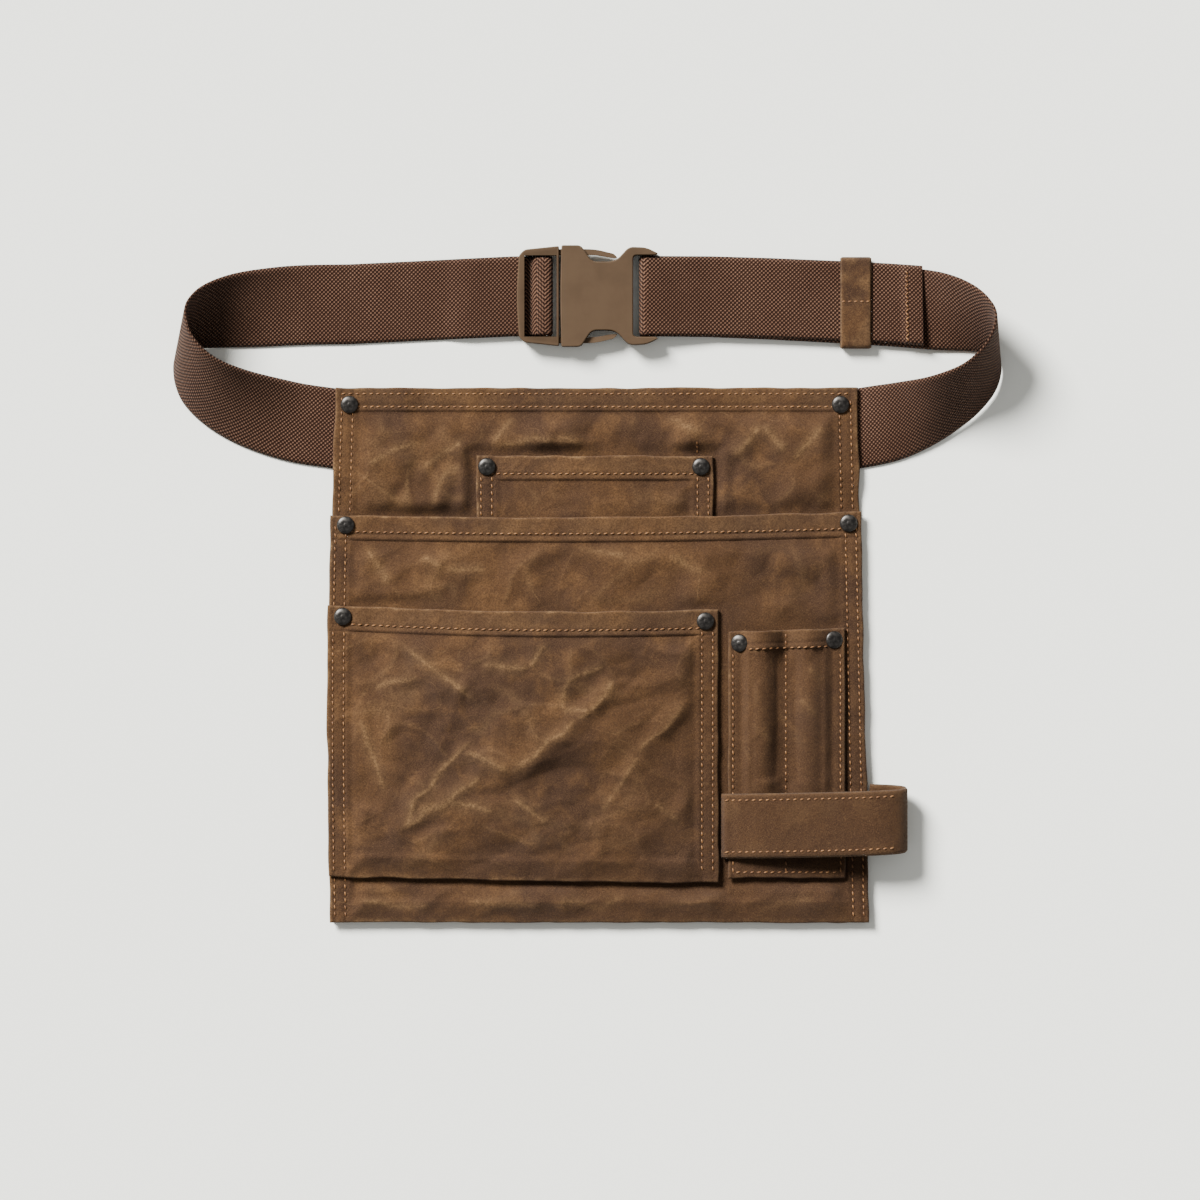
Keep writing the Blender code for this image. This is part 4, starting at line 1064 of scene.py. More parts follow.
def loop_stations(panels):
    """The hammer loop: up over the pencil pocket, round, and back to the apron's side seam."""
    wide = panels["wide_pocket"]
    pencil = panels["pencil_pocket"]
    middle = APRON_HEIGHT / 2 - LOOP_DROP
    start = float(panels["large_pocket"].right(middle)) + LOOP_START
    seam = HEM + GAP / 2
    last = float(apron_side(1, middle - LOOP_WIDTH / 2)) + OVERHANG + 2 * GAP
    edge = float(apron_side(1, middle))

    def plain(panel, x, y):
        return float(panel.underside(np.array(x), np.array(y)) + panel.thickness(np.array(x), np.array(y)))

    def pile(x):
        """The highest cloth under the loop near x."""
        highest = 0
        for step_x in (-0.1, 0, 0.1):
            for step_y in (-0.5, -0.25, 0, 0.25, 0.5):
                near = x + step_x * LOOP_WIDTH / 2
                y = middle + step_y * LOOP_WIDTH
                inside = pencil.left(y) - GAP < near < pencil.right(y) + GAP
                panel = pencil if inside and pencil.foot(near) < y else wide
                highest = max(highest, plain(panel, near, y))
        return highest

    stations = []
    turned = False
    for across, height, shift in spline(LOOP_RISE, 6):
        x = start + LOOP_REACH * across
        turned = turned or across > 0.99
        z = mix(seam, LOOP_HEIGHT, height)
        if turned:
            x = max(x, last)
        elif x < edge:
            z = max(z, pile(x) + GAP + LOOP_CLOTH / 2)
        stations.append((np.array((x, middle + LOOP_SLANT * shift, z)), STRAIGHT))
    return stations


def outline(corners, length, half_width, grow=0.0, steps=8):
    """Points of a closed outline with its corners rounded off, grown outwards by a clearance."""
    sharp = [Vector((corner.along * length, corner.aside * half_width)) for corner in corners]
    count = len(sharp)
    area = sum(sharp[i - 1].cross(sharp[i]) for i in range(count))
    turn = 1 if area > 0 else -1
    grown = []
    for i, point in enumerate(sharp):
        back = (point - sharp[i - 1]).normalized()
        ahead = (sharp[(i + 1) % count] - point).normalized()
        out = Vector((back.y + ahead.y, -back.x - ahead.x)).normalized() * turn
        grown.append(point + out * grow)
    points = []
    for i, corner in enumerate(corners):
        here = grown[i]
        before = grown[i - 1]
        after = grown[(i + 1) % count]
        trim = corner.trim * min((before - here).length, (after - here).length)
        start = here + (before - here).normalized() * trim
        end = here + (after - here).normalized() * trim
        for step in range(steps):
            t = step / (steps - 1)
            points.append(start * (1 - t) ** 2 + here * 2 * t * (1 - t) + end * t**2)
    return points


def both_sides(corners):
    """The whole outline of a buckle piece from the corners of its upper half."""
    mirrored = [Corner(c.along, -c.aside, c.trim) for c in reversed(corners) if c.aside > 0]
    return corners + mirrored


def link(name, bm, finish=None):
    mesh = bpy.data.meshes.new(name)
    bm.to_mesh(mesh)
    bm.free()
    made = bpy.data.objects.new(name, mesh)
    bpy.context.scene.collection.objects.link(made)
    if finish:
        mesh.materials.append(finish)
    return made


def stacked_plate(name, levels, origin, finish=None):
    """A plate from equal counts of outline points at rising heights."""
    bm = bmesh.new()
    rings = [[bm.verts.new((point.x, point.y, height)) for point in points] for points, height in levels]
    count = len(rings[0])
    for low, high in zip(rings, rings[1:]):
        for i in range(count):
            bm.faces.new((low[i - 1], low[i], high[i], high[i - 1]))
    bm.faces.new(rings[0])
    bm.faces.new(rings[-1])
    bmesh.ops.recalc_face_normals(bm, faces=bm.faces)
    made = link(name, bm, finish)
    made.location = tuple(origin)
    return made


def rounded_plate(name, corners, length, half_width, half, edge, origin, finish):
    """A flat piece with this outline whose top and bottom edges are rounded."""
    levels = []
    for turn in (90, 60, 30, 0):
        inset = edge * (1 - math.cos(math.radians(turn)))
        height = half - edge + edge * math.sin(math.radians(turn))
        levels.append((outline(corners, length, half_width, -inset), height))
    lower = [(points, -height) for points, height in levels]
    return stacked_plate(name, lower + levels[::-1], origin, finish)


def block(name, centre, size):
    """A box used to cut or to add to another piece."""
    bm = bmesh.new()
    bmesh.ops.create_cube(bm, size=1)
    bmesh.ops.scale(bm, verts=bm.verts, vec=size)
    made = link(name, bm)
    made.location = tuple(centre)
    return made


def soften(obj, width, segments):
    bevel = obj.modifiers.new("soft edges", "BEVEL")
    bevel.width = width
    bevel.segments = segments
    bevel.limit_method = "ANGLE"
    bevel.angle_limit = math.radians(35)


def combine(obj, other, operation):
    joined = obj.modifiers.new(other.name, "BOOLEAN")
    joined.operation = operation
    joined.object = other
    joined.solver = "EXACT"


def bake_modifiers(obj, helpers):
    """Leave the object with its final mesh and delete what cut or added to it."""
    graph = bpy.context.evaluated_depsgraph_get()
    final = bpy.data.meshes.new_from_object(obj.evaluated_get(graph))
    obj.modifiers.clear()
    obj.data = final
    for helper in helpers:
        bpy.data.objects.remove(helper)


def prong_plate(name, side, origin, grow):
    """One of the latch's two springy prongs, or the tunnel that it slides in."""
    points = outline(PRONG_CORNERS, PRONG_LENGTH, PRONG_WIDTH, grow)
    points = [Vector((point.x, side * (PRONG_OFFSET + point.y))) for point in points]
    half = PRONG_THICKNESS / 2 + grow
    return stacked_plate(name, [(points, -half), (points, half)], origin)


def plastic_piece(obj, node):
    for polygon in obj.data.polygons:
        polygon.use_smooth = True
    obj.data.set_sharp_from_angle(angle=math.radians(40))
    even = obj.modifiers.new("even shading", "WEIGHTED_NORMAL")
    even.keep_sharp = True
    dress(obj, node)


def build_buckle(finish):
    """The latch half and the socket half of the buckle, fastened."""
    half_width = BUCKLE_WIDTH / 2
    half = BUCKLE_THICKNESS / 2
    slot = BELT_WIDTH / 2 + SLOT_CLEARANCE
    bar_overlap = 2 * (slot + BAR_ROOT)
    female_place = buckle_point(FEMALE_LEFT)
    female_corners = both_sides(FEMALE_CORNERS)
    female_size = (FEMALE_LENGTH, half_width, half)
    female = rounded_plate(
        "socket_plastic", female_corners, *female_size, EDGE_ROUNDING, female_place, finish
    )
    bar_place = buckle_point(FEMALE_LEFT + FEMALE_BAR_PLACE)
    bar = block("socket bar", bar_place, (FEMALE_BAR_WIDTH, bar_overlap, BAR_THICKNESS))
    soften(bar, BAR_THICKNESS / 4, 3)
    combine(female, bar, "UNION")

    thin = half - MALE_INSET
    male_place = buckle_point(MALE_LEFT)
    male_corners = both_sides(MALE_CORNERS)
    male_size = (MALE_LENGTH, half_width, thin)
    male = rounded_plate(
        "latch_plastic", male_corners, *male_size, EDGE_ROUNDING, male_place, finish
    )
    window_length = MALE_LENGTH - OUTER_BAR_WIDTH - MALE_WALL
    window_place = buckle_point(MALE_LEFT + OUTER_BAR_WIDTH + window_length / 2)
    window = block("latch window", window_place, (window_length, 2 * slot, 2 * BUCKLE_THICKNESS))
    combine(male, window, "DIFFERENCE")
    under_height = OUTER_BAR_CLEARANCE + BUCKLE_THICKNESS
    under_place = (MALE_LEFT, BUCKLE_RISE, OUTER_BAR_CLEARANCE - under_height / 2)
    under = block("strap way", under_place, (3 * OUTER_BAR_WIDTH, 2 * slot, under_height))
    combine(male, under, "DIFFERENCE")
    middle_place = buckle_point(MALE_LEFT + MIDDLE_BAR_PLACE)
    middle = block("middle bar", middle_place, (MIDDLE_BAR_WIDTH, bar_overlap, BAR_THICKNESS))
    soften(middle, BAR_THICKNESS / 4, 3)
    combine(male, middle, "UNION")
    helpers = [bar, window, under, middle]
    prong_start = buckle_point(MALE_LEFT + MALE_LENGTH - MALE_WALL)
    for side, word in ((1, "upper"), (-1, "lower")):
        prong = prong_plate(f"{word} prong", side, prong_start, 0)
        combine(male, prong, "UNION")
        tunnel = prong_plate(f"{word} tunnel", side, prong_start, PRONG_CLEARANCE)
        combine(female, tunnel, "DIFFERENCE")
        helpers += [prong, tunnel]
    bake_modifiers(female, [])
    bake_modifiers(male, helpers)
    plastic_piece(female, "buckle_socket")
    plastic_piece(male, "buckle_latch")


def build_keeper(finish):
    """The canvas band round both layers of the belt."""
    tail_share = (KEEPER_CENTRE - FEMALE_LEFT - FEMALE_BAR_PLACE) / TAIL_LENGTH
    shift = TAIL_SHIFT * tail_share / 2
    half_width = BELT_WIDTH / 2 + shift + KEEPER_SLACK + CANVAS / 2
    half_height = (2 * WEBBING + GAP) / 2 + GAP + CANVAS / 2
    centre_z = KEEPER_LIFT + WEBBING + GAP / 2
    belt_y = BELT_Y + BELT_RISE + shift
    radius = half_height * 0.75
    middle = []
    for corner_y, corner_z, turn in ((1, -1, -90), (1, 1, 0), (-1, 1, 90), (-1, -1, 180)):
        for step in range(7):
            angle = math.radians(turn + 15 * step)
            y = corner_y * (half_width - radius) + radius * math.cos(angle)
            z = corner_z * (half_height - radius) + radius * math.sin(angle)
            middle.append((0.0, y, z))
    middle.append(middle[0])
    dense = []
    spacing = 0.0012
    for a, b in zip(middle, middle[1:]):
        a, b = np.array(a), np.array(b)
        parts = max(1, int(np.linalg.norm(b - a) / spacing))
        dense += [a + (b - a) * k / parts for k in range(parts)]
    dense = np.array(dense)
    along = np.roll(dense, -1, axis=0) - np.roll(dense, 1, axis=0)
    along /= np.linalg.norm(along, axis=1)[:, None]
    out = np.stack([0 * along[:, 0], along[:, 2], -along[:, 1]], -1)
    ring_across, ring_high = strap_section(KEEPER_LENGTH, 17, KEEPER_RIM)
    ring_x = ring_across * KEEPER_LENGTH / 2
    ring = len(ring_x)
    count = len(dense)
    points = dense[:, None, :] + out[:, None, :] * (ring_high * CANVAS / 2)[None, :, None]
    points = points + np.stack([ring_x, 0 * ring_x, 0 * ring_x], -1)[None]
    points = points + np.array((KEEPER_CENTRE, belt_y, centre_z))
    index = np.arange(count * ring).reshape(count, ring)
    ahead = np.roll(index, -1, axis=0)
    quads = np.stack([ahead, np.roll(ahead, -1, axis=1), np.roll(index, -1, axis=1), index], -1)
    places = np.arange(count) * spacing
    wave = Waves(61, 0.02)
    u = np.repeat(places, ring)
    v = np.tile(ring_x, count)
    worn = 0.35 * smooth(wave(u, v) * 1.5)
    edge = np.tile(np.abs(ring_across) ** 10, count)
    attributes = {"worn": worn, "edge_worn": edge * 0.9, "seam": 0 * worn}
    points = points.reshape(-1, 3)
    made = finish_mesh("keeper_cloth", points, quads, finish, attributes, points[:, :2])
    return dress(made, "keeper"), centre_z + half_height + CANVAS / 2, belt_y


def rivet_cap(number, panels, finish):
    """A domed cap with a rolled rim, a dimpled ring and a small centre."""
    panel = panels[CAPPED[(number - 1) // 2]]
    node_low, node_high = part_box(f"rivet_{number:02d}")
    centre = (node_low + node_high) / 2
    profile = [
        (0.00, 1.00), (0.10, 1.00), (0.17, 0.98), (0.23, 0.93), (0.30, 0.92), (0.48, 0.89), (0.62, 0.83),
        (0.72, 0.76), (0.80, 0.68), (0.86, 0.62), (0.91, 0.56), (0.96, 0.44), (1.00, 0.26), (1.00, 0.12),
        (0.97, 0.02), (0.90, 0.00), (0.33, 0.00), (0.33, -0.60), (0.00, -0.60),
    ]
    sides = 40
    points = []
    for share, height in profile:
        for k in range(sides):
            angle = 2 * math.pi * k / sides
            radius = share * CAP_RADIUS
            points.append((radius * math.cos(angle), radius * math.sin(angle), height * CAP_HEIGHT))
    bm = bmesh.new()
    verts = [bm.verts.new(p) for p in points]
    for row in range(len(profile) - 1):
        for k in range(sides):
            a = row * sides + k
            b = row * sides + (k + 1) % sides
            bm.faces.new((verts[a], verts[a + sides], verts[b + sides], verts[b]))
    bmesh.ops.remove_doubles(bm, verts=bm.verts, dist=1e-6)
    bmesh.ops.recalc_face_normals(bm, faces=bm.faces)
    made = link(f"rivet_cap_{number:02d}", bm, finish)
    made.data.shade_smooth()
    x, y = centre.x, centre.y
    if panel.name in ("large_pocket", "pencil_pocket"):
        step = np.array(CAP_RADIUS)
        slope_x = float(panel.underside(x + step, np.array(y)) - panel.underside(x - step, np.array(y)))
        slope_y = float(panel.underside(np.array(x), y + step) - panel.underside(np.array(x), y - step))
        axis = Vector((-slope_x, -slope_y, 2 * CAP_RADIUS)).normalized()
    else:
        axis = Vector((0, 0, 1))
    made.rotation_mode = "QUATERNION"
    made.rotation_quaternion = Vector((0, 0, 1)).rotation_difference(axis)
    made.location = (x, y, node_high.z - CAP_HEIGHT)
    dress(made, f"rivet_{number:02d}")


class Nodes:
    """Short calls that build a material's node tree."""

    def __init__(self, name):
        self.material = bpy.data.materials.new(name)
        self.material.use_nodes = True
        self.tree = self.material.node_tree
        self.shader = self.tree.nodes["Principled BSDF"]

    def add(self, kind, inputs=None, **settings):
        node = self.tree.nodes.new(kind)
        for key, value in settings.items():
            setattr(node, key, value)
        for key, value in (inputs or {}).items():
            self.feed(node.inputs[key], value)
        return node

    def feed(self, socket, value):
        if isinstance(value, bpy.types.NodeSocket):
            self.tree.links.new(value, socket)
        elif isinstance(value, bpy.types.Node):
            self.tree.links.new(value.outputs[0], socket)
        elif isinstance(value, tuple) and len(value) == 3 and socket.type == "RGBA":
            socket.default_value = (*value, 1)
        else:
            socket.default_value = value

    def math(self, operation, a, b=0.0, clamp=False):
        return self.add("ShaderNodeMath", {0: a, 1: b}, operation=operation, use_clamp=clamp)

    def noise(self, place, scale, detail=4.0, roughness=0.6, distortion=0.0):
        inputs = {"Vector": place, "Scale": scale, "Detail": detail, "Roughness": roughness}
        inputs["Distortion"] = distortion
        return self.add("ShaderNodeTexNoise", inputs).outputs["Fac"]

    def ramp(self, value, low, high, out_low=0.0, out_high=1.0, kind="SMOOTHSTEP"):
        inputs = {"Value": value, "From Min": low, "From Max": high, "To Min": out_low, "To Max": out_high}
        return self.add("ShaderNodeMapRange", inputs, interpolation_type=kind).outputs["Result"]

    def blend(self, share, a, b, kind="MIX"):
        node = self.add("ShaderNodeMix", data_type="RGBA", blend_type=kind)
        self.feed(node.inputs["Factor"], share)
        self.feed(node.inputs["A"], a)
        self.feed(node.inputs["B"], b)
        return node.outputs["Result"]

    def place(self):
        """The shaded point, in the piece's own coordinates."""
        return self.add("ShaderNodeTexCoord").outputs["Object"]

    def shifted(self, place, where, scale, reach):
        """The place moved aside by soft noise, which is read where this says."""
        inputs = {"Vector": where, "Scale": scale, "Detail": 2.0}
        shift = self.add("ShaderNodeTexNoise", inputs).outputs["Color"]
        shift = self.add("ShaderNodeVectorMath", {0: shift, 1: (0.5, 0.5, 0.5)}, operation="SUBTRACT")
        shift = self.add("ShaderNodeVectorMath", {0: shift, "Scale": reach}, operation="SCALE")
        return self.add("ShaderNodeVectorMath", {0: place, 1: shift}, operation="ADD").outputs[0]

    def attribute(self, name):
        return self.add("ShaderNodeAttribute", attribute_name=name).outputs["Fac"]

    def bump(self, height, strength, distance, before=None):
        inputs = {"Height": height, "Strength": strength, "Distance": distance}
        if before is not None:
            inputs["Normal"] = before
        return self.add("ShaderNodeBump", inputs).outputs["Normal"]

    def set(self, **values):
        for key, value in values.items():
            self.feed(self.shader.inputs[key.replace("_", " ")], value)


def canvas_material():
    """Waxed canvas: mottled browns, pale worn creases and edges, a fine weave, and painted shade in the
    seam grooves and towards the low right corner.
    """
    n = Nodes("waxed canvas")
    place = n.place()
    large = n.noise(place, 14, 4, 0.55)
    medium = n.noise(place, 55, 5, 0.6, 0.4)
    grain = n.noise(place, 900, 3, 0.7)
    fibre = n.noise(place, 2600, 2, 0.6)
    dark = (0.0340, 0.0156, 0.0080)
    body = (0.0680, 0.0315, 0.0122)
    light = (0.1300, 0.0640, 0.0245)
    pale = (0.235, 0.138, 0.062)
    # Dark brown for the grain, and also for the painted shade towards the low right corner.
    dark_grain_and_shade = (0.026, 0.0115, 0.0055)
    color = n.blend(n.ramp(large, 0.36, 0.62), dark, body)
    color = n.blend(n.ramp(medium, 0.46, 0.72, 0, 0.65), color, light)
    worn = n.attribute("worn")
    edge = n.attribute("edge_worn")
    broken = n.ramp(n.noise(place, 240, 4, 0.7), 0.38, 0.62)
    scuff = n.math("MULTIPLY", worn, n.math("ADD", n.math("MULTIPLY", broken, 0.45), 0.55))
    lines = 0.0
    for crest, patch_scale, strength in (("crest", 17.0, 0.42), ("small_crest", 23.0, 0.30)):
        beside = n.math("ABSOLUTE", n.attribute(crest))
        thin = n.ramp(beside, 0.0, 0.035, strength, 0.0)
        patch = n.ramp(n.noise(place, patch_scale, 3, 0.5), 0.46, 0.60)
        lines = n.math("MAXIMUM", lines, n.math("MULTIPLY", thin, patch))
    lines = n.math("MULTIPLY", lines, n.attribute("bare"))
    scuff = n.math("MAXIMUM", scuff, lines)
    # Fine cracks in the wax, thin and straight, in patches.
    warped = n.shifted(place, place, 26.0, 0.022)
    cracks = 0.0
    heights = 0.0
    for scale, width, strength, patch_scale in ((24.0, 0.020, 0.34, 16.0), (60.0, 0.035, 0.22, 30.0)):
        cell_inputs = {"Vector": warped, "Scale": scale}
        cell = n.add("ShaderNodeTexVoronoi", cell_inputs, feature="DISTANCE_TO_EDGE").outputs["Distance"]
        line = n.ramp(cell, 0.0, width, strength, 0.0)
        patch = n.ramp(n.noise(place, patch_scale, 3, 0.5), 0.53, 0.70)
        line = n.math("MULTIPLY", n.math("MULTIPLY", line, patch), broken)
        cracks = n.math("MAXIMUM", cracks, line)
        ridge = n.ramp(cell, 0.0, width * 5, 1.0, 0.0)
        heights = n.math("ADD", heights, n.math("MULTIPLY", ridge, n.ramp(patch, 0, 1, 0.25, 0.8)))
    pale_share = n.math("MAXIMUM", n.math("MULTIPLY", scuff, 0.75), cracks)
    edge_share = n.math("MULTIPLY", edge, n.ramp(n.noise(place, 130, 4, 0.7), 0.32, 0.60, 0.1, 0.75))
    pale_share = n.math("MAXIMUM", pale_share, edge_share, clamp=True)
    color = n.blend(pale_share, color, pale)
    # Painted shade: the wax is darkened towards the low right corner, the side away from the light.
    spread = n.add("ShaderNodeSeparateXYZ", {0: place})
    painted_shade_gradient = n.math("SUBTRACT", spread.outputs[0], spread.outputs[1])
    painted_shade_gradient = n.math("ADD", painted_shade_gradient, n.math("MULTIPLY", large, 0.12))
    color = n.blend(n.ramp(painted_shade_gradient, 0.02, 0.32, 0.0, 0.66), color, dark_grain_and_shade)
    # Painted shade: the cloth is darkened in the seam grooves and in the line under each pocket's band.
    painted_groove_shade = n.math("MULTIPLY", n.attribute("seam"), 0.62)
    color = n.blend(painted_groove_shade, color, (0.022, 0.009, 0.004))
    color = n.blend(n.ramp(grain, 0.38, 0.62, 0.0, 0.58), color, dark_grain_and_shade)
    color = n.blend(n.ramp(fibre, 0.46, 0.68, 0.0, 0.42), color, (0.155, 0.086, 0.038))
    # The weave, over and under in both directions.
    cloth = n.add("ShaderNodeUVMap", uv_map="cloth").outputs[0]
    parts = n.add("ShaderNodeSeparateXYZ", {0: cloth})
    weave_pitch = 0.00085
    warp_thread = n.math("SINE", n.math("MULTIPLY", parts.outputs[0], 2 * math.pi / weave_pitch))
    weft_thread = n.math("SINE", n.math("MULTIPLY", parts.outputs[1], 2 * math.pi / weave_pitch))
    weave = n.math("MULTIPLY", warp_thread, weft_thread)
    weave = n.math("ADD", weave, n.math("MULTIPLY", fibre, 1.2))
    normal = n.bump(weave, 0.8, 0.0002)
    normal = n.bump(heights, 0.35, 0.0006, normal)
    normal = n.bump(medium, 0.45, 0.0024, normal)
    rough = n.ramp(large, 0.3, 0.7, 0.66, 0.82)
    rough = n.math("ADD", rough, n.math("MULTIPLY", pale_share, 0.12))
    n.set(Base_Color=color, Roughness=rough, Normal=normal)
    n.shader.inputs["Sheen Weight"].default_value = 0.04
    n.shader.inputs["Sheen Roughness"].default_value = 0.5
    n.shader.inputs["Specular IOR Level"].default_value = 0.11
    return n.material


def webbing_material():
    """Heavy webbing: staggered knots of the weave, and a chevron where it is folded round the bars."""
    n = Nodes("webbing")
    place = n.place()
    cloth = n.add("ShaderNodeUVMap", uv_map="cloth").outputs[0]
    cloth = n.shifted(cloth, place, 320.0, 0.0006)
    parts = n.add("ShaderNodeSeparateXYZ", {0: cloth})
    along, aside = parts.outputs[0], parts.outputs[1]
    pitch = 0.00255
    first = n.math("COSINE", n.math("MULTIPLY", along, 2 * math.pi / pitch))
    second = n.math("COSINE", n.math("MULTIPLY", aside, 2 * math.pi / pitch))
    knots = n.math("MULTIPLY", first, second)
    knots = n.ramp(knots, -0.35, 0.75)
    slanted = n.math("ADD", aside, n.math("PINGPONG", along, 0.0048))
    chevrons = n.math("SINE", n.math("MULTIPLY", slanted, 2 * math.pi / 0.0026))
    strands = n.math("SINE", n.math("MULTIPLY", along, 2 * math.pi / 0.0016))
    chevrons = n.ramp(n.math("ADD", chevrons, n.math("MULTIPLY", strands, 0.45)), -0.8, 0.9)
    kinds = {0: n.attribute("chevron"), 2: knots, 3: chevrons}
    pattern = n.add("ShaderNodeMix", kinds, data_type="FLOAT").outputs[0]
    patches = n.noise(place, 22, 4, 0.6)
    fibre = n.noise(place, 1900, 3, 0.7)
    knot_color = n.blend(n.ramp(patches, 0.35, 0.68), (0.122, 0.062, 0.037), (0.165, 0.088, 0.054))
    color = n.blend(pattern, (0.0145, 0.0042, 0.0018), knot_color)
    color = n.blend(n.ramp(fibre, 0.25, 0.75, 0.0, 0.25), color, (0.034, 0.015, 0.008))
    height = n.math("ADD", pattern, n.math("MULTIPLY", fibre, 0.25))
    normal = n.bump(height, 1.0, 0.0008)
    n.set(Base_Color=color, Roughness=0.82, Normal=normal)
    n.shader.inputs["Sheen Weight"].default_value = 0.05
    n.shader.inputs["Sheen Roughness"].default_value = 0.45
    n.shader.inputs["Specular IOR Level"].default_value = 0.10
    return n.material


def plastic_material():
    """Moulded plastic: fine spark-eroded texture and softly worn edges."""
    n = Nodes("moulded plastic")
    place = n.place()
    patches = n.noise(place, 60, 4, 0.6)
    texture = n.noise(place, 2400, 3, 0.6)
    color = n.blend(n.ramp(patches, 0.3, 0.7), (0.0420, 0.0250, 0.0130), (0.0540, 0.0325, 0.0172))
    worn = n.ramp(n.add("ShaderNodeNewGeometry").outputs["Pointiness"], 0.50, 0.56, 0.0, 0.35)
    color = n.blend(worn, color, (0.115, 0.074, 0.044))
    rough = n.ramp(texture, 0.3, 0.7, 0.54, 0.66)
    n.set(Base_Color=color, Roughness=rough, Normal=n.bump(texture, 0.25, 0.00025))
    n.shader.inputs["Specular IOR Level"].default_value = 0.12
    return n.material


def metal_material():
    """Gunmetal: dark, faintly mottled, with brighter rims."""
    n = Nodes("gunmetal")
    place = n.place()
    patches = n.noise(place, 420, 4, 0.6)
    color = n.blend(n.ramp(patches, 0.35, 0.7), (0.030, 0.0275, 0.0255), (0.062, 0.057, 0.052))
    worn = n.ramp(n.add("ShaderNodeNewGeometry").outputs["Pointiness"], 0.51, 0.60, 0.0, 0.5)
    color = n.blend(worn, color, (0.17, 0.16, 0.15))
    rough = n.ramp(patches, 0.3, 0.7, 0.30, 0.46)
    n.set(Base_Color=color, Roughness=rough, Normal=n.bump(patches, 0.15, 0.0003))
    n.shader.inputs["Metallic"].default_value = 0.9
    return n.material


def thread_material():
    """Golden brown thread with a faint twist."""
    n = Nodes("thread")
    place = n.place()
    patches = n.noise(place, 90, 3, 0.6)
    twist = n.noise(place, 2500, 2, 0.6)
    color = n.blend(n.ramp(patches, 0.35, 0.65), (0.120, 0.048, 0.0125), (0.200, 0.090, 0.027))
    n.set(Base_Color=color, Roughness=0.62, Normal=n.bump(twist, 0.5, 0.0002))
    return n.material


def floor_material():
    n = Nodes("pale floor")
    place = n.place()
    soft = n.noise(place, 2.5, 3, 0.5)
    color = n.blend(n.ramp(soft, 0.3, 0.7), (0.955, 0.968, 0.902), (0.970, 0.982, 0.917))
    n.set(Base_Color=color, Roughness=0.9)
    n.shader.inputs["Specular IOR Level"].default_value = 0.1
    return n.material


canvas = canvas_material()
webbing = webbing_material()
plastic = plastic_material()
metal = metal_material()
golden = thread_material()
panels = apron_panels()

# Cloth panels, each with the spacing of its grid
GRID = {
    "back_panel": 0.0018,
    "wide_pocket": 0.0017,
    "upper_pocket": 0.0013,
    "large_pocket": 0.0011,
    "pencil_pocket": 0.0010,
}
cloths = {name: sewn_cloth(panels[name], spacing, canvas) for name, spacing in GRID.items()}
for name, panel in panels.items():
    cut_width = float(panel.right(0.0) - panel.left(0.0))

# Hammer loop
loop_path = loop_stations(panels)
loop, loop_length = ribbon(
    "hammer_loop", "cloth", loop_path, LOOP_WIDTH, LOOP_CLOTH, canvas, 0.0012, 30
)

# Belt
left_stations, left_chevron = left_belt_stations()
belt_left, left_length = ribbon(
    "belt_left", "webbing", left_stations, BELT_WIDTH, WEBBING, webbing, chevron=left_chevron
)
lower, arc, tail, right_chevron = right_belt_stations()
right_stations = [(s[0], s[1], 1.0) for s in lower + arc] + tail
belt_right, right_length = ribbon(
    "belt_right", "webbing", right_stations, BELT_WIDTH, WEBBING, webbing, chevron=right_chevron
)

keeper, keeper_top, keeper_y = build_keeper(canvas)

build_buckle(plastic)
for number in range(1, 2 * len(CAPPED) + 1):
    rivet_cap(number, panels, metal)

# Stitches
thread = Thread("stitches", "canvas")


def side_row(panel, side, inset, low, high):
    """A row beside a panel's side edge, between two heights above its foot."""
    rows = []
    for y in np.linspace(panel.foot_left + low, high, 40):
        edge = panel.left(y) if side < 0 else panel.right(y)
        rows.append((float(edge) - side * inset, y))
    thread.row(rows, panel.surface)


def top_row(panel, drop, side_gap):
    """A row below a panel's top edge."""
    rows = []
    for across in np.linspace(0, 1, 60):
        x = mix(panel.left(panel.top_left) + side_gap, panel.right(panel.top_left) - side_gap, across)
        rows.append((float(x), float(panel.top(x)) - drop))
    thread.row(rows, panel.surface)


back = panels["back_panel"]
wide = panels["wide_pocket"]
upper = panels["upper_pocket"]
large = panels["large_pocket"]
pencil = panels["pencil_pocket"]
top_row(back, 0.0038, 0.003)
top_row(back, 0.0119, 0.012)
wide_low_left = float(wide.top(wide.left(wide.top_left)))
wide_low_right = float(wide.top(wide.right(wide.top_left)))
for inset in back.side_marks:
    side_row(back, -1, inset, wide_low_left - back.foot_left + 0.001, back.top_left - 0.005)
    side_row(back, 1, inset, wide_low_right - back.foot_left + 0.001, back.top_left - 0.005)
for inset in wide.side_marks:
    for side in (-1, 1):
        side_row(wide, side, inset, 0.003, wide.top_left - 0.004)
for inset in large.side_marks:
    side_row(large, -1, inset, 0.003, large.top_left - 0.012)
    side_row(large, 1, inset, 0.003, large.top_left + large.tilt - 0.012)
top_row(wide, 0.0103, 0.006)
top_row(upper, 0.0113, 0.003)
upper_show = float(wide.top(0.0)) - upper.foot_left
for inset in upper.side_marks:
    for side in (-1, 1):
        side_row(upper, side, inset, upper_show, upper.top_left - 0.010)
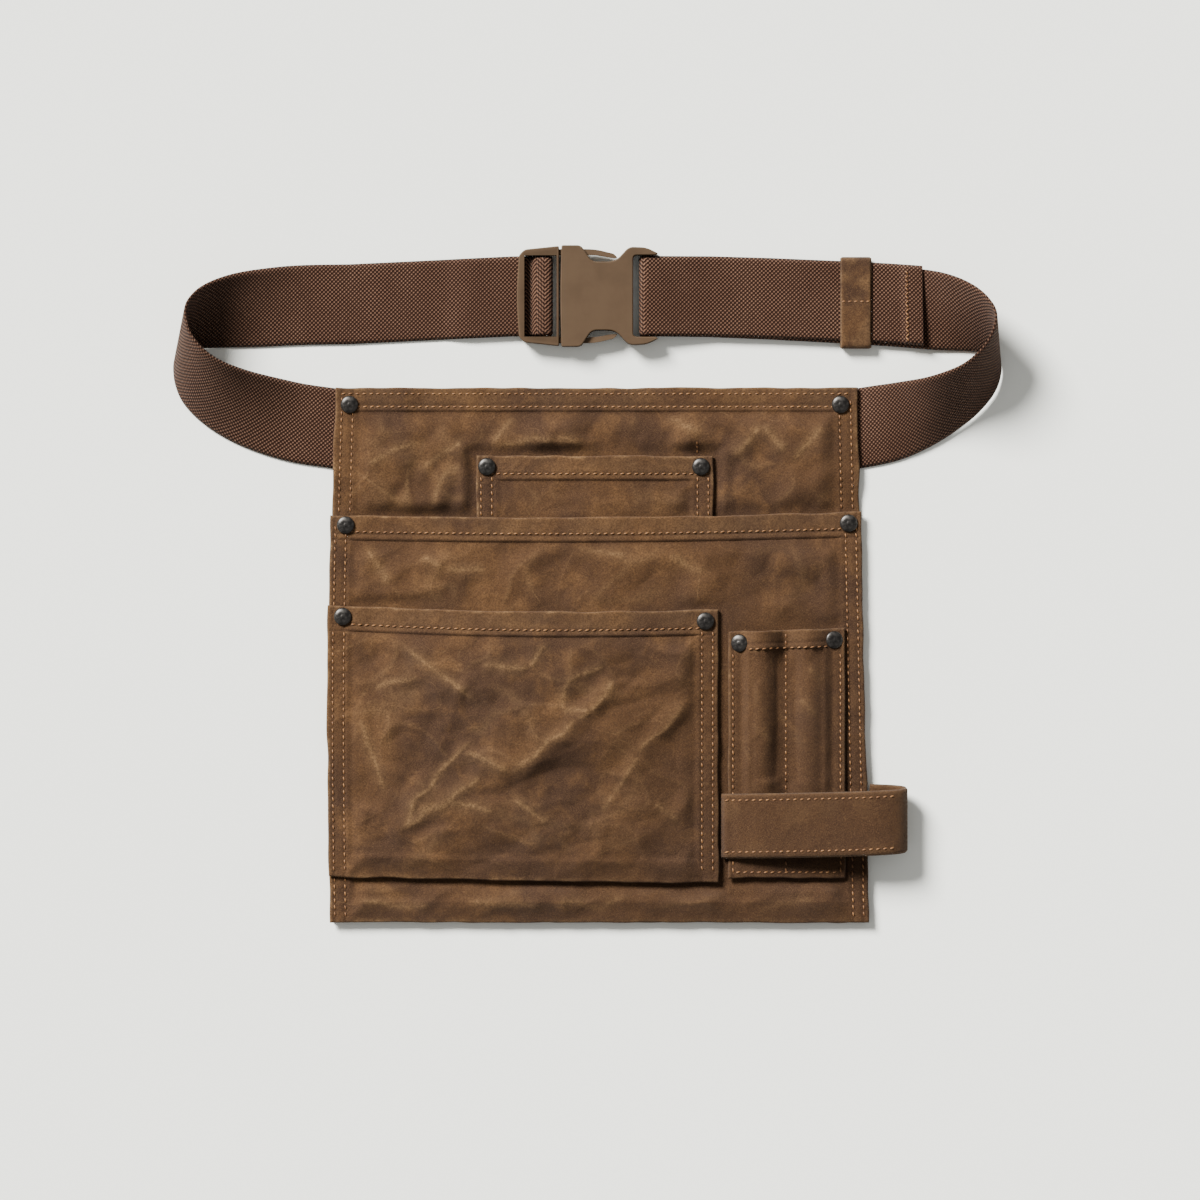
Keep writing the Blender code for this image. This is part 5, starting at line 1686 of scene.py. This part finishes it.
# A short tack on the back panel, above the small pocket's right rivet.
thread.row([(0.0619, 0.1335), (0.0621, 0.1250)], back.surface, pitch=0.0026)
top_row(large, 0.0115, 0.005)
top_row(pencil, 0.0112, 0.003)
side_row(pencil, -1, 0.0030, 0.003, pencil.top_left - 0.011)
side_row(pencil, 1, 0.0028, 0.003, pencil.top_left - 0.009)
seam_x = float(pencil.left(0.0)) + PENCIL_MIDDLE
thread.row([(seam_x, pencil.foot_left + 0.003), (seam_x, pencil.top_left + 0.001)], pencil.surface)
foot_row = pencil.foot_left + 0.0038
row_ends = (float(pencil.left(0.0)) + 0.004, float(pencil.right(0.0)) - 0.004)
thread.row([(end, foot_row) for end in row_ends], pencil.surface)


def strap_row(stations, offset, first, last, thickness):
    """A row along a strap, this far from its middle, between two shares of its length."""
    centres = np.array([s[0] for s in stations], float)
    sides = np.array([s[1] for s in stations], float)
    sides /= np.linalg.norm(sides, axis=1)[:, None]
    total = np.concatenate([[0], np.cumsum(np.linalg.norm(np.diff(centres, axis=0), axis=1))])
    turn = math.radians(SLANT)
    for number in range(int(total[-1] * (last - first) / PITCH)):
        place = total[-1] * first + (number + 0.5) * PITCH
        centre, side = at_lengths(place, total, centres), at_lengths(place, total, sides)
        along = at_lengths(place + MM, total, centres) - at_lengths(place - MM, total, centres)
        along /= np.linalg.norm(along)
        normal = np.cross(along, side)
        run = along * math.cos(turn) + side * math.sin(turn)
        out = normal * (thickness / 2 + LIFT)
        thread.stitch(centre + side * offset + out, run, normal, 0.0031, 0.00052)


for offset in (-LOOP_WIDTH / 2 + 0.0041, LOOP_WIDTH / 2 - 0.0041):
    strap_row(loop_path, offset, 0.03, 0.77, thickness=LOOP_CLOTH)

# The tail's hem is sewn with a close zigzag across the webbing.
hem_start = np.array(tail[-2][0], float)
hem_end = np.array(tail[-1][0], float)
hem_side = np.array(tail[-1][1], float)
hem_side /= np.linalg.norm(hem_side)
hem_run = (hem_end - hem_start) / np.linalg.norm(hem_end - hem_start)
hem_normal = np.cross(hem_run, hem_side)
hem_normal *= math.copysign(1, hem_normal[2])
hem_line = hem_start + hem_run * TAIL_HEM * 0.12 + hem_normal * (WEBBING + 0.0002)
zigzag_pitch = 0.0026
zigzag_reach = BELT_WIDTH - 0.004
for step in range(int(zigzag_reach / zigzag_pitch)):
    aside = (step + 0.5) * zigzag_pitch - zigzag_reach / 2
    slanted = hem_run * (0.9 if step % 2 else -0.9) + hem_side
    thread.stitch(hem_line + hem_side * aside, slanted, hem_normal, 0.0033, 0.0005)

# One line across the keeper, where its ends meet.
for step in range(5):
    x = KEEPER_CENTRE - KEEPER_LENGTH / 2 + 0.0021 + step * 0.0038
    thread.stitch((x, keeper_y + 0.0008, keeper_top + 0.0001), (1, 0.14, 0), (0, 0, 1), 0.0030, 0.0005)

thread.finish(golden)

# Floor, light and camera
bpy.ops.mesh.primitive_plane_add(size=8, location=(0, 0, -0.0004))
floor = bpy.context.object
floor.name = "floor"
floor.data.materials.append(floor_material())


def soft_light(name, place, angle, power, color):
    """A far, even light with soft edges, shining from this side towards the apron."""
    data = bpy.data.lights.new(name, "SUN")
    data.angle = math.radians(angle)
    data.energy = power
    data.color = color
    made = bpy.data.objects.new(name, data)
    made.location = place
    made.rotation_euler = (-Vector(place)).to_track_quat("-Z", "Y").to_euler()
    bpy.context.scene.collection.objects.link(made)


soft_light("key", (-1.00, 1.10, 1.05), 21, 12.9, (1.0, 0.99, 0.97))
world = bpy.data.worlds.new("studio")
world.use_nodes = True
world.node_tree.nodes["Background"].inputs["Color"].default_value = (1.0, 0.995, 0.985, 1)
world.node_tree.nodes["Background"].inputs["Strength"].default_value = 0.43
bpy.context.scene.world = world

# The photograph's pixel in metres, the pixel of the frame's origin and the middle of the photograph
PIXEL = 0.000625
ORIGIN_COLUMN = 598
ORIGIN_ROW = 655
PHOTO_MIDDLE = 600
FRAME_WIDTH = 0.750
CAMERA_HEIGHT = 6.0
FRAME_CENTRE = ((PHOTO_MIDDLE - ORIGIN_COLUMN) * PIXEL, (ORIGIN_ROW - PHOTO_MIDDLE) * PIXEL)
camera_data = bpy.data.cameras.new("camera")
camera_data.sensor_width = 36
camera_data.lens = 36 * CAMERA_HEIGHT / FRAME_WIDTH
camera_data.clip_end = 50
camera = bpy.data.objects.new("camera", camera_data)
camera.location = (*FRAME_CENTRE, CAMERA_HEIGHT)
bpy.context.scene.collection.objects.link(camera)
bpy.context.scene.camera = camera
